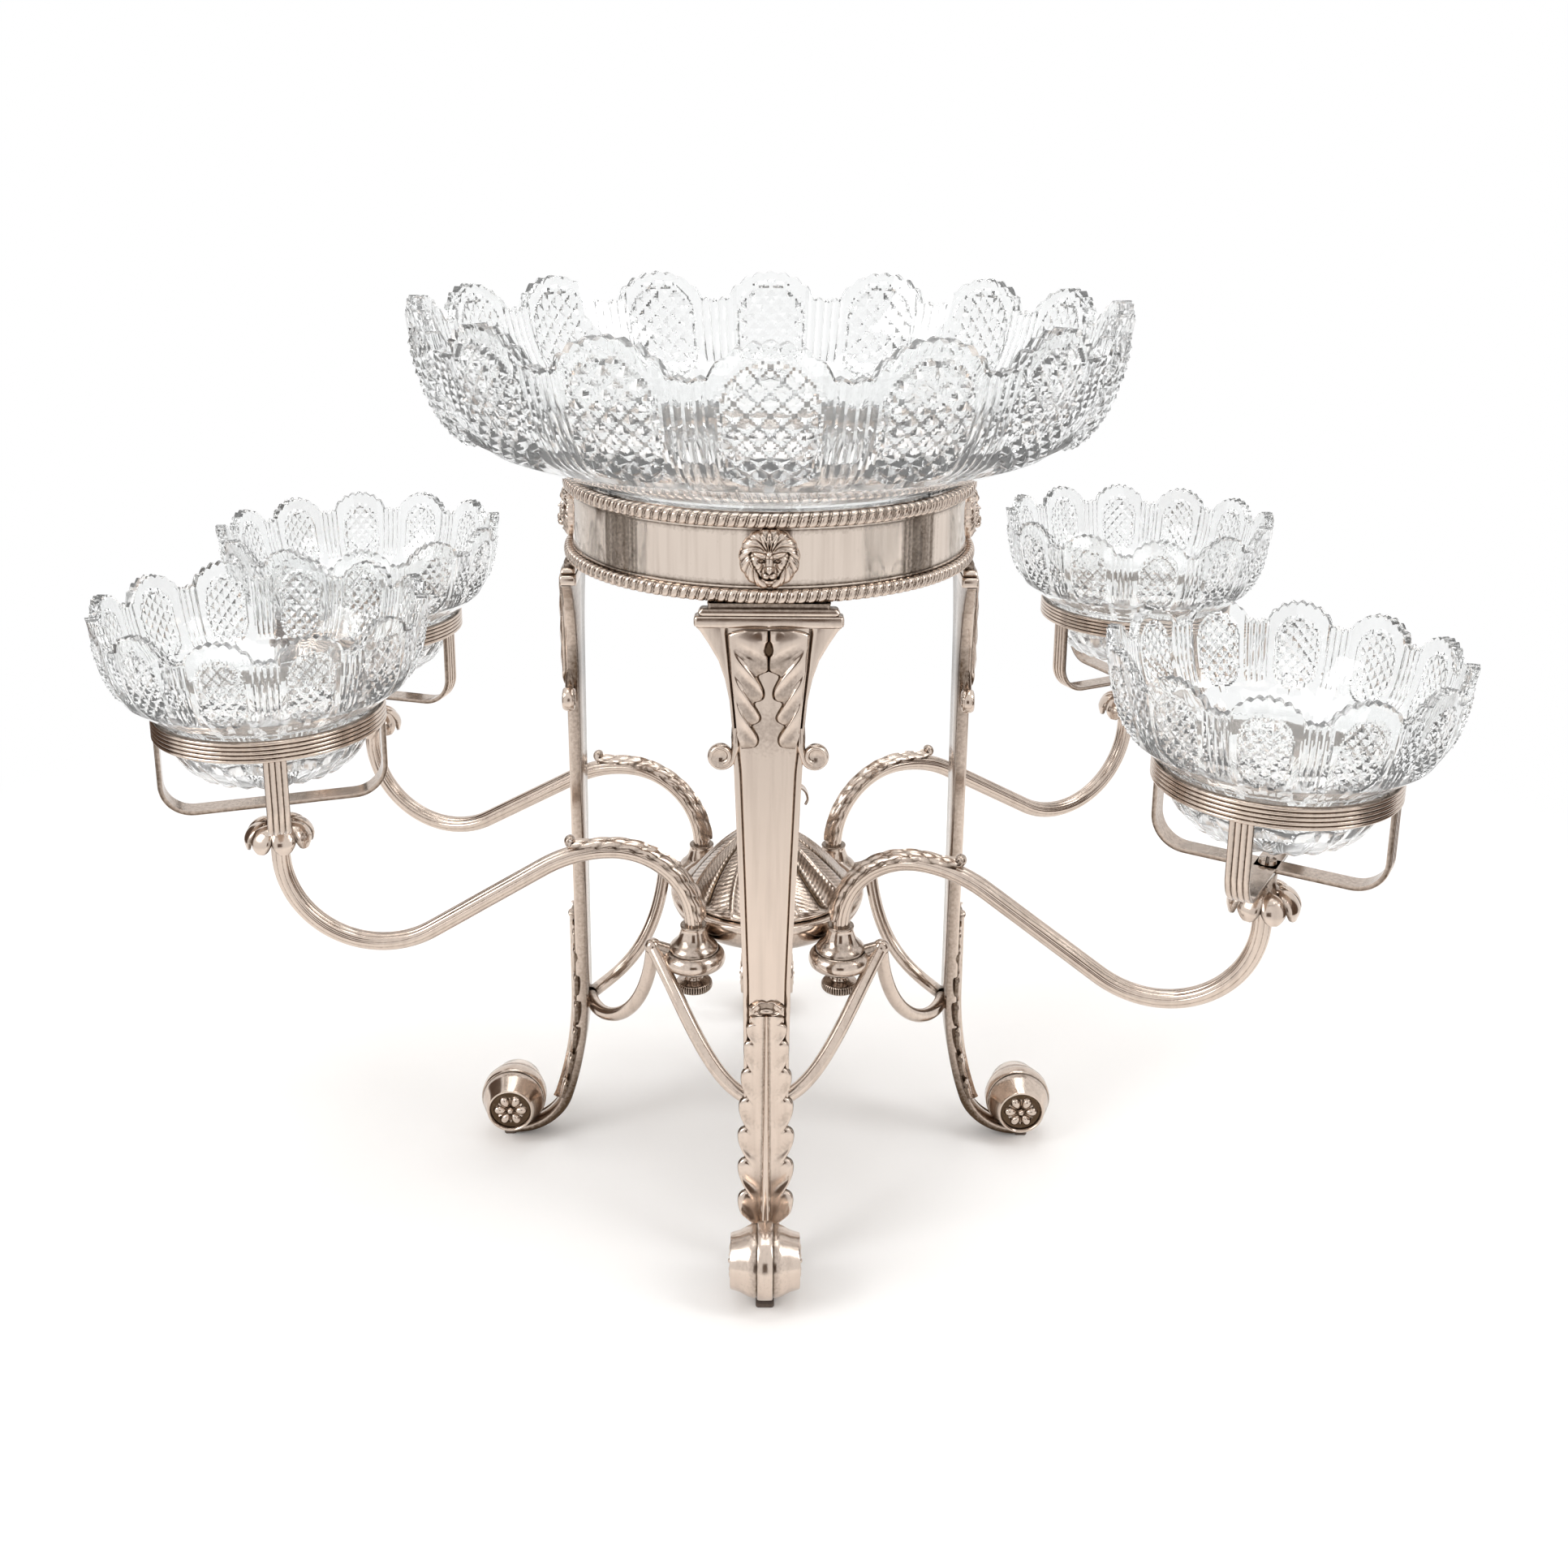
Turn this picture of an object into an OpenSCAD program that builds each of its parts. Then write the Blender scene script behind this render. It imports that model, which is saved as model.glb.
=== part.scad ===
// Epergne: a silver stand of four legs under a ring, one large cut-glass bowl and
// four small cut-glass bowls on swivelling arms. Millimetres, +Z up, feet on z = 0, front is -Y.

/* [Ring] */
// outer radius of the two lobed borders
ring_r = 75; // [60:0.5:90]
// height of the middle of the upper border
ring_top = 270.8; // [230:0.1:320]
// distance between the middles of the two borders
ring_h = 25.3; // [20:0.1:40]
// half height of a border
border_h = 2.35; // [1.5:0.05:4]
// wall thickness of the band
band_t = 1.5; // [1:0.1:3]
// width of the ledge that the large bowl stands on
seat_w = 18.2; // [8:0.1:30]
// height of the ledge above the middle of the lower border
seat_up = 5.5; // [3:0.1:12]
// radius of a lion mask
mask_r = 9.7; // [6:0.1:14]

/* [Legs] */
// distance from the axis to the middle of a leg strap
leg_r = 72.8; // [60:0.1:90]
// thickness of a leg strap
strap_t = 5.6; // [3:0.1:9]
// thickness of the strap under the foot
toe_t = 2.2; // [1.5:0.1:5]
// half width of the strap just under the capital
strap_top_w = 12.4; // [8:0.1:20]
// half width of the strap at the lower leaf
strap_low_w = 7.8; // [5:0.1:14]
// half width of the capital
capital_w = 24.6; // [18:0.1:32]
// height of the capital mouldings
capital_h = 8; // [5:0.1:14]
// radius of the cavetto under the capital
flare_r = 14.5; // [8:0.5:20]
// distance from the axis to the foot scroll
foot_r = 101.5; // [85:0.5:125]
// radius of the upper part of the outward sweep
sweep_r = 150; // [80:1:250]
// turn of the upper part of the outward sweep in degrees
sweep_turn = 18; // [8:1:30]
// largest radius of the foot scroll
scroll_r = 12.2; // [8:0.1:18]
// end radius of the foot scroll
scroll_end_r = 9.2; // [6:0.1:14]
// half width of the foot scroll
scroll_w = 12; // [8:0.1:18]
// height of a foot pad
pad_h = 1.5; // [0.5:0.1:4]
// thickness of the applied leaves
leaf_t = 1.3; // [0.8:0.1:3]
// height of the middle of the upper leaf volutes
volute_z = 191; // [170:0.5:215]
// height of the middle of the top of a lower leaf
leaf_top = 98; // [70:0.5:130]
// height of the lower end of a lower leaf
leaf_low = 22; // [16:0.5:40]
// half width of a lower leaf without its lobes
leaf_w = 5.2; // [3:0.1:9]
// radius of a lobe of a lower leaf
lobe_r = 4.3; // [2:0.1:7]
// number of lobe pairs on a lower leaf
leaf_lobes = 7; // [4:1:10]

/* [Hub] */
// distance from the axis to a socket
socket_at = 45; // [40:0.5:60]
// angle of the front and back sockets from the side to side line
socket_turn = 53; // [40:1:60]
// height of the floor inside a socket
socket_z = 95; // [80:0.1:120]
// outer radius of a socket
socket_r = 11.7; // [9:0.1:15]
// radius of the hub pan
pan_r = 37.5; // [30:0.1:45]
// height of the rim of the hub pan
pan_z = 108.4; // [100:0.1:120]
// height of the bracket rods on the front and back legs
rod_low = 58; // [45:0.5:80]
// radius of a bracket rod
rod_r = 2.6; // [1.5:0.1:4]

/* [Arms] */
// reach of an arm from its socket to its bowl
arm_l = 148; // [120:1:180]
// radius of the arm tube
arm_r = 3.3; // [2:0.1:5]
// radius of the first bend
bend_a = 30; // [20:0.5:45]
// radius of the crest
bend_b = 48; // [30:0.5:80]
// radius of the outer bend
bend_c = 35; // [25:0.5:45]
// height of the lowest point of the arm
arm_low = 104.5; // [90:0.5:120]
// rest direction of the front left arm in degrees
turn_fl = 182; // [170:1:230]
// rest direction of the front right arm in degrees
turn_fr = 338; // [310:1:360]
// rest direction of the back right arm in degrees
turn_br = 27; // [0:1:60]
// rest direction of the back left arm in degrees
turn_bl = 164; // [120:1:165]
// how far the front left holder is turned on its arm
set_fl = 16; // [-45:1:45]
// how far the front right holder is turned on its arm
set_fr = -9; // [-45:1:45]
// how far the back right holder is turned on its arm
set_br = 0; // [-45:1:45]
// how far the back left holder is turned on its arm
set_bl = 0; // [-45:1:45]
// radius of the calyx petals ring
calyx_r = 8.8; // [6:0.1:12]
// number of calyx petals
calyx_n = 8; // [6:1:12]

/* [Holders] */
// inner radius of a holder ring
holder_r = 37.6; // [30:0.1:45]
// height of the top of a holder ring
holder_top = 196.5; // [186:0.1:208]
// height of a holder ring
holder_h = 7.4; // [5:0.1:12]
// width of a holder strap
holder_w = 7.6; // [5:0.1:12]
// height of the middle of the strap floor
holder_z = 160; // [155:0.1:170]

/* [Bowls] */
// height of the petal tips of the large bowl
big_tip = 335; // [310:0.5:360]
// radius of the large bowl at its petal tips
big_r = 128; // [110:0.5:140]
// radius of the flat under the large bowl
big_foot = 58; // [40:0.5:64]
// thickness of the large bowl at its rim
big_wall = 5.5; // [3:0.1:8]
// middle depth of the cutting on the large bowl
big_cut = 1; // [0.4:0.1:1.6]
// number of petals on the large bowl
big_n = 16; // [12:1:20]
// height of the petal tips of a small bowl
small_tip = 236; // [222:0.5:250]
// radius of a small bowl at its petal tips
small_r = 57; // [48:0.5:62]
// height of the underside of a small bowl
small_z = 173; // [168:0.1:181]
// thickness of a small bowl at its rim
small_wall = 3.8; // [2:0.1:6]
// middle depth of the cutting on a small bowl
small_cut = 0.7; // [0.3:0.1:1.2]
// number of petals on a small bowl
small_n = 12; // [8:1:16]

/* [Hidden] */
$fn = 64;
silver = [0.80, 0.74, 0.70];
dark = [0.36, 0.31, 0.28];
glass = [0.80, 0.86, 0.86];
felt = [0.16, 0.14, 0.13];
band_r = ring_r - 3.3;
band_in = band_r - band_t;
border_c = ring_r - border_h;
ring_low = ring_top - ring_h;
leg_top = ring_low - border_h;
cap_z = leg_top - capital_h;
strap_out = leg_r + strap_t / 2;
strap_in = leg_r - strap_t / 2;
toe_z = pad_h + toe_t / 2;
heel_r = (foot_r - leg_r - sweep_r * (1 - cos(sweep_turn))) / cos(sweep_turn);
sweep_z = toe_z + sweep_r * sin(sweep_turn) + heel_r * (1 - sin(sweep_turn));
scroll_z = pad_h + toe_t + scroll_r;
ferrule_top = 110;
arm_end = 146;
spigot_end = holder_z - 1.1;
spigot_r = 2.4;
knuckle = 0.2;
crest = [bend_a, ferrule_top + bend_a - bend_b];
outer = [arm_l - bend_c, arm_low + bend_c];
centres = norm(outer - crest);
rise = atan2(outer[1] - crest[1], outer[0] - crest[0]);
slope = asin((bend_b + bend_c) / centres) - rise;
sx = socket_at * cos(socket_turn);
sy = socket_at * sin(socket_turn);
seat_z = ring_low + seat_up;
bowl_gap = 0.5;
lip_z = ring_top + border_h + 0.45;
left = max(arm_l * -cos(turn_fl), arm_l * -cos(turn_bl)) + sx + small_r;
right = max(arm_l * cos(turn_fr), arm_l * cos(turn_br)) + sx + small_r;
fore = max(max(arm_l * -sin(turn_fr), arm_l * -sin(turn_fl)) + sy + small_r, big_r);
aft = max(max(arm_l * sin(turn_br), arm_l * sin(turn_bl)) + sy + small_r, big_r);
shift = [(left - right) / 2, (fore - aft) / 2, 0];

// moves the stand so that its footprint is centred on the origin
module placed() {
  translate(shift)
    children();
}

// puts a piece drawn along +X on each of the four legs
module four() {
  for (turn = [0:90:270])
    rotate([0, 0, turn])
      children();
}

// extrudes a radius and height outline sideways
module sideways(w) {
  rotate([90, 0, 0])
    linear_extrude(height = w, center = true)
      children();
}

// extrudes a width and height outline outwards from one radius to another
module outwards(a, b) {
  translate([a, 0, 0])
    rotate([90, 0, 90])
      linear_extrude(height = b - a)
        children();
}

// ring
module ring_band() {
  color(silver)
    placed()
      rotate_extrude($fn = 96)
        translate([band_in, leg_top])
          square([band_t, ring_h + 2 * border_h + 0.2]);
}

module border(z, side) {
  rotate_extrude($fn = 96)
    difference() {
      union() {
        translate([border_c, z])
          circle(r = border_h, $fn = 32);
        translate([band_r, z + side * (border_h + 0.4) - 0.5])
          square([0.9, 1]);
        translate([band_r - 0.2, z - border_h + 0.5])
          square([1.2, 2 * border_h - 1]);
      }
      translate([band_r - 5, z - 10])
        square([5, 20]);
    }
}

module upper_border() {
  color(silver)
    placed()
      border(ring_top, -1);
}

module lower_border() {
  color(silver)
    placed()
      border(ring_low, 1);
}

module bowl_seat() {
  color(silver)
    placed()
      rotate_extrude($fn = 96)
        translate([band_in - seat_w, seat_z - 2])
          square([seat_w, 2]);
}

module mane_outline() {
  circle(r = mask_r - 1.6, $fn = 48);
  for (a = [0:30:330])
    translate([(mask_r - 2.2) * cos(a), (mask_r - 2.2) * sin(a)])
      circle(r = 2.2, $fn = 24);
}

module lion_mask() {
  z = (ring_top + ring_low) / 2;
  translate([0, 0, z])
    difference() {
      union() {
        outwards(band_r - 2, band_r + 2)
          mane_outline();
        translate([band_r + 1, 0, 0.4])
          rotate([0, 90, 0])
            cylinder(r1 = 6.6, r2 = 3.6, h = 3.2, $fn = 48);
        translate([band_r + 1, 0, -2.4])
          rotate([0, 90, 0])
            cylinder(r1 = 3.4, r2 = 2.2, h = 5, $fn = 48);
        for (s = [-1, 1])
          translate([band_r + 1, s * 2.5, 2.6])
            rotate([0, 90, 0])
              cylinder(r1 = 2, r2 = 1.1, h = 4.2, $fn = 32);
      }
      translate([0, 0, -20])
        cylinder(r = band_r, h = 40, $fn = 300);
    }
}

module lion_masks() {
  color(silver)
    placed()
      four()
        lion_mask();
}

// legs: the strap runs straight down, then sweeps out under the foot scroll
function turn_at(i) = i <= 8 ? sweep_turn * i / 8 : sweep_turn + (90 - sweep_turn) * (i - 8) / 12;
function mid_at(i) = i <= 8
  ? [leg_r + sweep_r * (1 - cos(turn_at(i))), sweep_z - sweep_r * sin(turn_at(i))]
  : [foot_r - heel_r * cos(turn_at(i)), toe_z + heel_r * (1 - sin(turn_at(i)))];
function face_at(i, off) = mid_at(i) + off * [cos(turn_at(i)), sin(turn_at(i))];
function half_t(i) = (strap_t + (toe_t - strap_t) * turn_at(i) / 90) / 2;

module strap_side(low, high) {
  top = [for (i = [0:20]) face_at(i, high > 0.5 ? half_t(i) + (high - 1) : -half_t(i))];
  under = [for (i = [20:-1:0]) face_at(i, low > 0.5 ? half_t(i) : -half_t(i))];
  tip = [foot_r + 4.5, 0];
  first = [top[0][0], cap_z];
  last = [under[20][0], cap_z];
  polygon(concat([first], top, [[tip[0], top[20][1]], [tip[0], under[0][1]]], under, [last]));
}

function flare_at(a) = [strap_top_w + flare_r * (1 - cos(a)), cap_z - flare_r * (1 - sin(a))];
function mirrored(p) = [for (i = [len(p) - 1:-1:0]) [-p[i][0], p[i][1]]];

module strap_front() {
  steep = acos((strap_top_w + flare_r - capital_w) / flare_r);
  flare = [for (i = [12:-1:0]) flare_at(steep * i / 12)];
  edge = concat([[capital_w, cap_z]], flare, [[strap_low_w, 90], [strap_low_w, 45], [4.6, 12], [4.6, 0]]);
  polygon(concat(edge, mirrored(edge)));
}

module scroll_shape() {
  translate([foot_r, 0, scroll_z])
    rotate([90, 0, 0])
      rotate_extrude($fn = 64)
        polygon([[0, -scroll_w], [scroll_end_r, -scroll_w], [scroll_r, -2.6], [scroll_r + 0.6, -2.6],
          [scroll_r + 0.6, 2.6], [scroll_r, 2.6], [scroll_end_r, scroll_w], [0, scroll_w]]);
}

module leg() {
  difference() {
    intersection() {
      sideways(80)
        strap_side(0, 1);
      outwards(50, 130)
        strap_front();
    }
    scroll_shape();
  }
}

module leg_front() {
  color(silver)
    placed()
      rotate([0, 0, 270])
        leg();
}

module leg_right() {
  color(silver)
    placed()
      leg();
}

module leg_back() {
  color(silver)
    placed()
      rotate([0, 0, 90])
        leg();
}

module leg_left() {
  color(silver)
    placed()
      rotate([0, 0, 180])
        leg();
}

module capital() {
  wide = capital_w;
  deep = strap_t / 2 + 1;
  inside = min(leg_r, ring_r) - leg_r - deep;
  low = capital_h * 0.48;
  mid = capital_h * 0.3;
  translate([leg_r, 0, cap_z])
    union() {
      translate([inside, -wide, 0])
        cube([deep - inside, 2 * wide, low]);
      translate([inside + 0.8, -wide + 2, low])
        cube([deep - inside - 1.6, 2 * wide - 4, mid]);
      translate([inside + 2, -wide + 4.6, low + mid])
        cube([deep - inside - 4, 2 * wide - 9.2, capital_h - low - mid]);
    }
}

module leg_capitals() {
  color(silver)
    placed()
      four()
        capital();
}

module upper_leaf_outline() {
  difference() {
    union() {
      polygon([[-19, cap_z - 1], [19, cap_z - 1], [13, cap_z - 12], [12, volute_z + 4], [4, volute_z - 1],
        [-4, volute_z - 1], [-12, volute_z + 4], [-13, cap_z - 12]]);
      for (s = [-1, 1]) {
        for (i = [0:3])
          translate([s * (14.6 - 1.1 * i), cap_z - 6 - 8.6 * i])
            circle(r = 3.6 - 0.15 * i, $fn = 24);
        translate([s * 12, volute_z + 3])
          circle(r = 3.6, $fn = 24);
      }
    }
    translate([0, volute_z - 3])
      intersection() {
        translate([-26, 5])
          circle(r = 31, $fn = 64);
        translate([26, 5])
          circle(r = 31, $fn = 64);
      }
    translate([0, cap_z - 6.5])
      circle(r = 1.7, $fn = 24);
  }
}

module upper_leaf() {
  difference() {
    union() {
      outwards(strap_out, strap_out + leaf_t)
        upper_leaf_outline();
      for (s = [-1, 1])
        translate([strap_in + 1, s * 15.2, volute_z])
          rotate([0, 90, 0])
            cylinder(r = 4.2, h = strap_t + leaf_t, $fn = 32);
      for (s = [-1, 1])
        translate([strap_in + 1, s * 15.2, volute_z])
          rotate([0, 90, 0])
            cylinder(r = 1.9, h = strap_t + leaf_t + 1.2, $fn = 24);
    }
    outwards(strap_in, strap_out)
      strap_front();
  }
}

module capital_leaves() {
  color(silver)
    placed()
      four()
        upper_leaf();
}

module lower_leaf_outline() {
  lobe_run = (leaf_top - leaf_low - 18) / (leaf_lobes - 1);
  union() {
    polygon([[-3.2, leaf_top - 4], [3.2, leaf_top - 4], [leaf_w, leaf_low + 18], [3, leaf_low],
      [-3, leaf_low], [-leaf_w, leaf_low + 18]]);
    for (s = [-1, 1]) {
      for (i = [0:leaf_lobes - 1])
        translate([s * (leaf_w + 1.1 * sin(180 * i / (leaf_lobes - 1))), leaf_top - 9 - lobe_run * i])
          circle(r = lobe_r, $fn = 24);
      translate([s * 3.4, leaf_top - 2.5])
        circle(r = 2.6, $fn = 24);
    }
    translate([0, leaf_top])
      circle(r = 3.4, $fn = 24);
  }
}

module lower_leaf() {
  difference() {
    intersection() {
      sideways(40)
        strap_side(1, 1 + leaf_t);
      outwards(60, 130)
        lower_leaf_outline();
    }
    scroll_shape();
  }
}

module leg_leaves() {
  color(silver)
    placed()
      four()
        lower_leaf();
}

// feet
module foot() {
  difference() {
    scroll_shape();
    for (s = [-1, 1])
      translate([foot_r, s * scroll_w, scroll_z])
        rotate([90, 0, 0])
          cylinder(r = scroll_end_r - 1.4, h = 2.4, center = true, $fn = 48);
  }
}

module foot_front() {
  color(silver)
    placed()
      rotate([0, 0, 270])
        foot();
}

module foot_right() {
  color(silver)
    placed()
      foot();
}

module foot_back() {
  color(silver)
    placed()
      rotate([0, 0, 90])
        foot();
}

module foot_left() {
  color(silver)
    placed()
      rotate([0, 0, 180])
        foot();
}

module rosette() {
  union() {
    cylinder(r = 2.2, h = 2.2, $fn = 32);
    for (a = [0:60:300])
      rotate([0, 0, a])
        translate([4.1, 0, 0])
          cylinder(r = 2.25, h = 1.6, $fn = 32);
    cylinder(r = 4.4, h = 1.2, $fn = 32);
  }
}

module foot_rosettes() {
  color(silver)
    placed()
      four()
        for (s = [-1, 1])
          translate([foot_r, s * (scroll_w - 1.2), scroll_z])
            rotate([-90 * s, 0, 0])
              rosette();
}

module foot_pads() {
  color(felt)
    placed()
      four()
        translate([foot_r - 1, -5, 0])
          cube([5.5, 10, pad_h]);
}

// brackets: rods rise from the legs to each socket
function mix(a, b, t) = a * (1 - t) + b * t;
function bow(p, t) = mix(mix(mix(p[0], p[1], t), mix(p[1], p[2], t), t),
  mix(mix(p[1], p[2], t), mix(p[2], p[3], t), t), t);

module rod(a, b) {
  d = b - a;
  translate(a)
    rotate([0, acos(d[2] / norm(d)), atan2(d[1], d[0])])
      cylinder(r = rod_r, h = norm(d), $fn = 24);
}

module bowed_rod(p, n) {
  for (i = [0:n - 1])
    rod(bow(p, i / n), bow(p, (i + 1) / n));
  for (i = [0:n])
    translate(bow(p, i / n))
      sphere(r = rod_r + knuckle, $fn = 24);
}

// drawn for the corner with positive x and y; the other corners are mirrored
module bracket() {
  knot = [sx + socket_r + 3.5, sy - 0.6, socket_z + 5.5];
  side = [[strap_in - 2.2, -1, rod_low + 3], [strap_in - 6, 20, rod_low],
    [knot[0] + 3, knot[1] - 8, rod_low + 6], knot];
  front = [[-2, strap_in - 2.2, rod_low], [18, strap_in - 1, rod_low],
    [28, strap_in - 16, rod_low + 24], knot];
  far = 2 * leg_r;
  difference() {
    union() {
      bowed_rod(side, 6);
      bowed_rod(front, 6);
      rod(knot, [sx, sy, socket_z + 3]);
    }
    translate([sx, sy, socket_z - 5])
      cylinder(r = socket_r, h = 20, $fn = 64);
    translate([strap_in, -far, 0])
      cube([far, 2 * far, far]);
    translate([-far, strap_in, 0])
      cube([2 * far, far, far]);
    translate([-far, -far, 0])
      cube([2 * far, far, far]);
    translate([-far, -far, 0])
      cube([far, 2 * far, far]);
  }
}

module bracket_fl() {
  color(silver)
    placed()
      rotate([0, 0, 180])
        bracket();
}

module bracket_fr() {
  color(silver)
    placed()
      mirror([0, 1, 0])
        bracket();
}

module bracket_br() {
  color(silver)
    placed()
      bracket();
}

module bracket_bl() {
  color(silver)
    placed()
      mirror([1, 0, 0])
        bracket();
}

// sockets and hub
module at_fl() {
  translate([-sx, -sy, 0])
    children();
}

module at_fr() {
  translate([sx, -sy, 0])
    children();
}

module at_br() {
  translate([sx, sy, 0])
    children();
}

module at_bl() {
  translate([-sx, sy, 0])
    children();
}

module socket() {
  rotate_extrude($fn = 64)
    difference() {
      union() {
        translate([4.26, socket_z - 2.5])
          square([socket_r - 4.26 - 1, 7.6]);
        translate([socket_r - 3.8, socket_z + 1.3])
          circle(r = 3.8, $fn = 32);
      }
      translate([4.26, socket_z])
        square([9.2 - 4.26, 10]);
      translate([0, socket_z - 10])
        square([4.26, 20]);
    }
}

module socket_fl() {
  color(silver)
    placed()
      at_fl()
        socket();
}

module socket_fr() {
  color(silver)
    placed()
      at_fr()
        socket();
}

module socket_br() {
  color(silver)
    placed()
      at_br()
        socket();
}

module socket_bl() {
  color(silver)
    placed()
      at_bl()
        socket();
}

module hub_pan() {
  color(silver)
    placed()
      difference() {
        rotate_extrude($fn = 96)
          polygon([[0, pan_z - 15.6], [16, pan_z - 15.4], [25, pan_z - 14], [31, pan_z - 11.6],
            [34.8, pan_z - 8], [pan_r - 0.7, pan_z - 4.2], [pan_r, pan_z - 1.8], [pan_r, pan_z],
            [0, pan_z]]);
        for (s = [-1, 1])
          for (t = [-1, 1])
            translate([s * sx, t * sy, pan_z - 30])
              cylinder(r = socket_r, h = 60, $fn = 64);
      }
}

module hub_dome() {
  color(silver)
    placed()
      rotate_extrude($fn = 96)
        polygon([[0, pan_z], [33, pan_z], [33, pan_z + 1.4], [30.6, pan_z + 3.4], [26, pan_z + 9.4],
          [20, pan_z + 15.6], [14, pan_z + 20.6], [9, pan_z + 23.6], [6, pan_z + 25.4], [5, pan_z + 27],
          [0, pan_z + 27]]);
}

function ray(a) = [cos(a), sin(a)];

module curl(c, r, t, from, turn, w) {
  translate([c[0], 0, c[1]])
    sideways(w)
      intersection() {
        difference() {
          circle(r = r + t / 2, $fn = 64);
          circle(r = r - t / 2, $fn = 64);
        }
        polygon(concat([[0, 0]], [for (i = [0:6]) 2 * r * ray(from + turn * i / 6)]));
      }
}

module finial_leaf() {
  curl([8.6, pan_z + 34], 7.6, 2, 60, 125, 4.4);
  translate([8.6 + 7.6 * cos(60), 0, pan_z + 34 + 7.6 * sin(60)])
    sphere(r = 2.4, $fn = 24);
}

module hub_finial() {
  color(silver)
    placed()
      union() {
        translate([0, 0, pan_z + 27])
          cylinder(r1 = 3.6, r2 = 2.4, h = 12, $fn = 32);
        translate([0, 0, pan_z + 40])
          sphere(r = 3, $fn = 32);
        for (a = [0:120:240])
          rotate([0, 0, a])
            finial_leaf();
      }
}

// arms
module bend(c, r, from, turn) {
  translate([c[0], 0, c[1]])
    rotate([90, 0, 0])
      rotate([0, 0, from])
        rotate_extrude(angle = turn, $fn = 96)
          translate([r, 0])
            children();
}

module arm_tube() {
  first = [bend_a, ferrule_top];
  start = crest + bend_b * [sin(slope), cos(slope)];
  stop = outer - bend_c * [sin(slope), cos(slope)];
  run = norm(stop - start);
  cylinder(r = arm_r, h = ferrule_top, $fn = 32);
  bend(first, bend_a, 90, 90)
    circle(r = arm_r, $fn = 32);
  bend(crest, bend_b, 90 - slope, slope)
    circle(r = arm_r, $fn = 32);
  translate([start[0], 0, start[1]])
    rotate([0, 90 + slope, 0])
      cylinder(r = arm_r, h = run, $fn = 32);
  bend(outer, bend_c, 270 - slope, 90 + slope)
    circle(r = arm_r, $fn = 32);
  for (p = [[bend_a, ferrule_top + bend_a], start, stop])
    translate([p[0], 0, p[1]])
      sphere(r = arm_r + 0.04, $fn = 48);
  translate([arm_l, 0, outer[1]])
    cylinder(r = arm_r, h = arm_end - outer[1], $fn = 32);
  translate([arm_l, 0, arm_end - 1])
    cylinder(r = spigot_r, h = spigot_end - arm_end + 1, $fn = 32);
}

// a leaf lies along the outer side of the first bend and the crest
module arm() {
  knob = bend_b + 4.2;
  knob_at = slope * 0.55;
  difference() {
    union() {
      arm_tube();
      curl([bend_a, ferrule_top], bend_a + arm_r, 2.2, 90, 62, 7.4);
      curl(crest, bend_b + arm_r, 2.2, 90 - knob_at, knob_at + 0.5, 7.4);
      translate([crest[0] + knob * sin(knob_at), 0, crest[1] + knob * cos(knob_at)])
        sphere(r = 3.1, $fn = 32);
    }
    translate([0, 0, -1])
      cylinder(r = 20, h = ferrule_top - 9, $fn = 32);
    translate([arm_l, 0, spigot_end - 8])
      cylinder(r = 1.56, h = 20, $fn = 32);
  }
}

module arm_fl() {
  color(silver)
    placed()
      at_fl()
        rotate([0, 0, turn_fl])
          arm();
}

module arm_fr() {
  color(silver)
    placed()
      at_fr()
        rotate([0, 0, turn_fr])
          arm();
}

module arm_br() {
  color(silver)
    placed()
      at_br()
        rotate([0, 0, turn_br])
          arm();
}

module arm_bl() {
  color(silver)
    placed()
      at_bl()
        rotate([0, 0, turn_bl])
          arm();
}

module ferrule() {
  top = ferrule_top;
  base = socket_z + 0.1;
  rotate_extrude($fn = 64)
    polygon([[2.06, socket_z - 2.7], [4.2, socket_z - 2.7], [4.2, base], [9.12, base], [9.12, base + 5.6],
      [8.6, base + 7], [7.2, base + 8.2], [5.8, base + 10], [4.9, base + 12.4], [4.5, top], [arm_r, top],
      [arm_r, ferrule_top - 10], [2.06, ferrule_top - 10]]);
}

module ferrule_fl() {
  color(silver)
    placed()
      at_fl()
        ferrule();
}

module ferrule_fr() {
  color(silver)
    placed()
      at_fr()
        ferrule();
}

module ferrule_br() {
  color(silver)
    placed()
      at_br()
        ferrule();
}

module ferrule_bl() {
  color(silver)
    placed()
      at_bl()
        ferrule();
}

module calyx() {
  translate([arm_l, 0, 0])
    difference() {
      union() {
        translate([0, 0, arm_end])
          cylinder(r = 7, h = 4, $fn = 48);
        for (i = [0:calyx_n - 1])
          rotate([0, 0, 360 * i / calyx_n])
            translate([calyx_r, 0, arm_end + 1.2])
              sphere(r = 4.2, $fn = 32);
        translate([0, 0, arm_end + 3])
          cylinder(r1 = 9, r2 = 4, h = 4, $fn = 48);
        translate([0, 0, arm_end + 6])
          cylinder(r = 3.6, h = spigot_end - arm_end - 6.2, $fn = 32);
      }
      translate([0, 0, arm_end - 10])
        cylinder(r = spigot_r, h = 40, $fn = 32);
      translate([0, 0, arm_end - 10])
        cylinder(r = 5, h = 10, $fn = 32);
    }
}

module calyx_fl() {
  color(silver)
    placed()
      at_fl()
        rotate([0, 0, turn_fl])
          calyx();
}

module calyx_fr() {
  color(silver)
    placed()
      at_fr()
        rotate([0, 0, turn_fr])
          calyx();
}

module calyx_br() {
  color(silver)
    placed()
      at_br()
        rotate([0, 0, turn_br])
          calyx();
}

module calyx_bl() {
  color(silver)
    placed()
      at_bl()
        rotate([0, 0, turn_bl])
          calyx();
}

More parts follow.
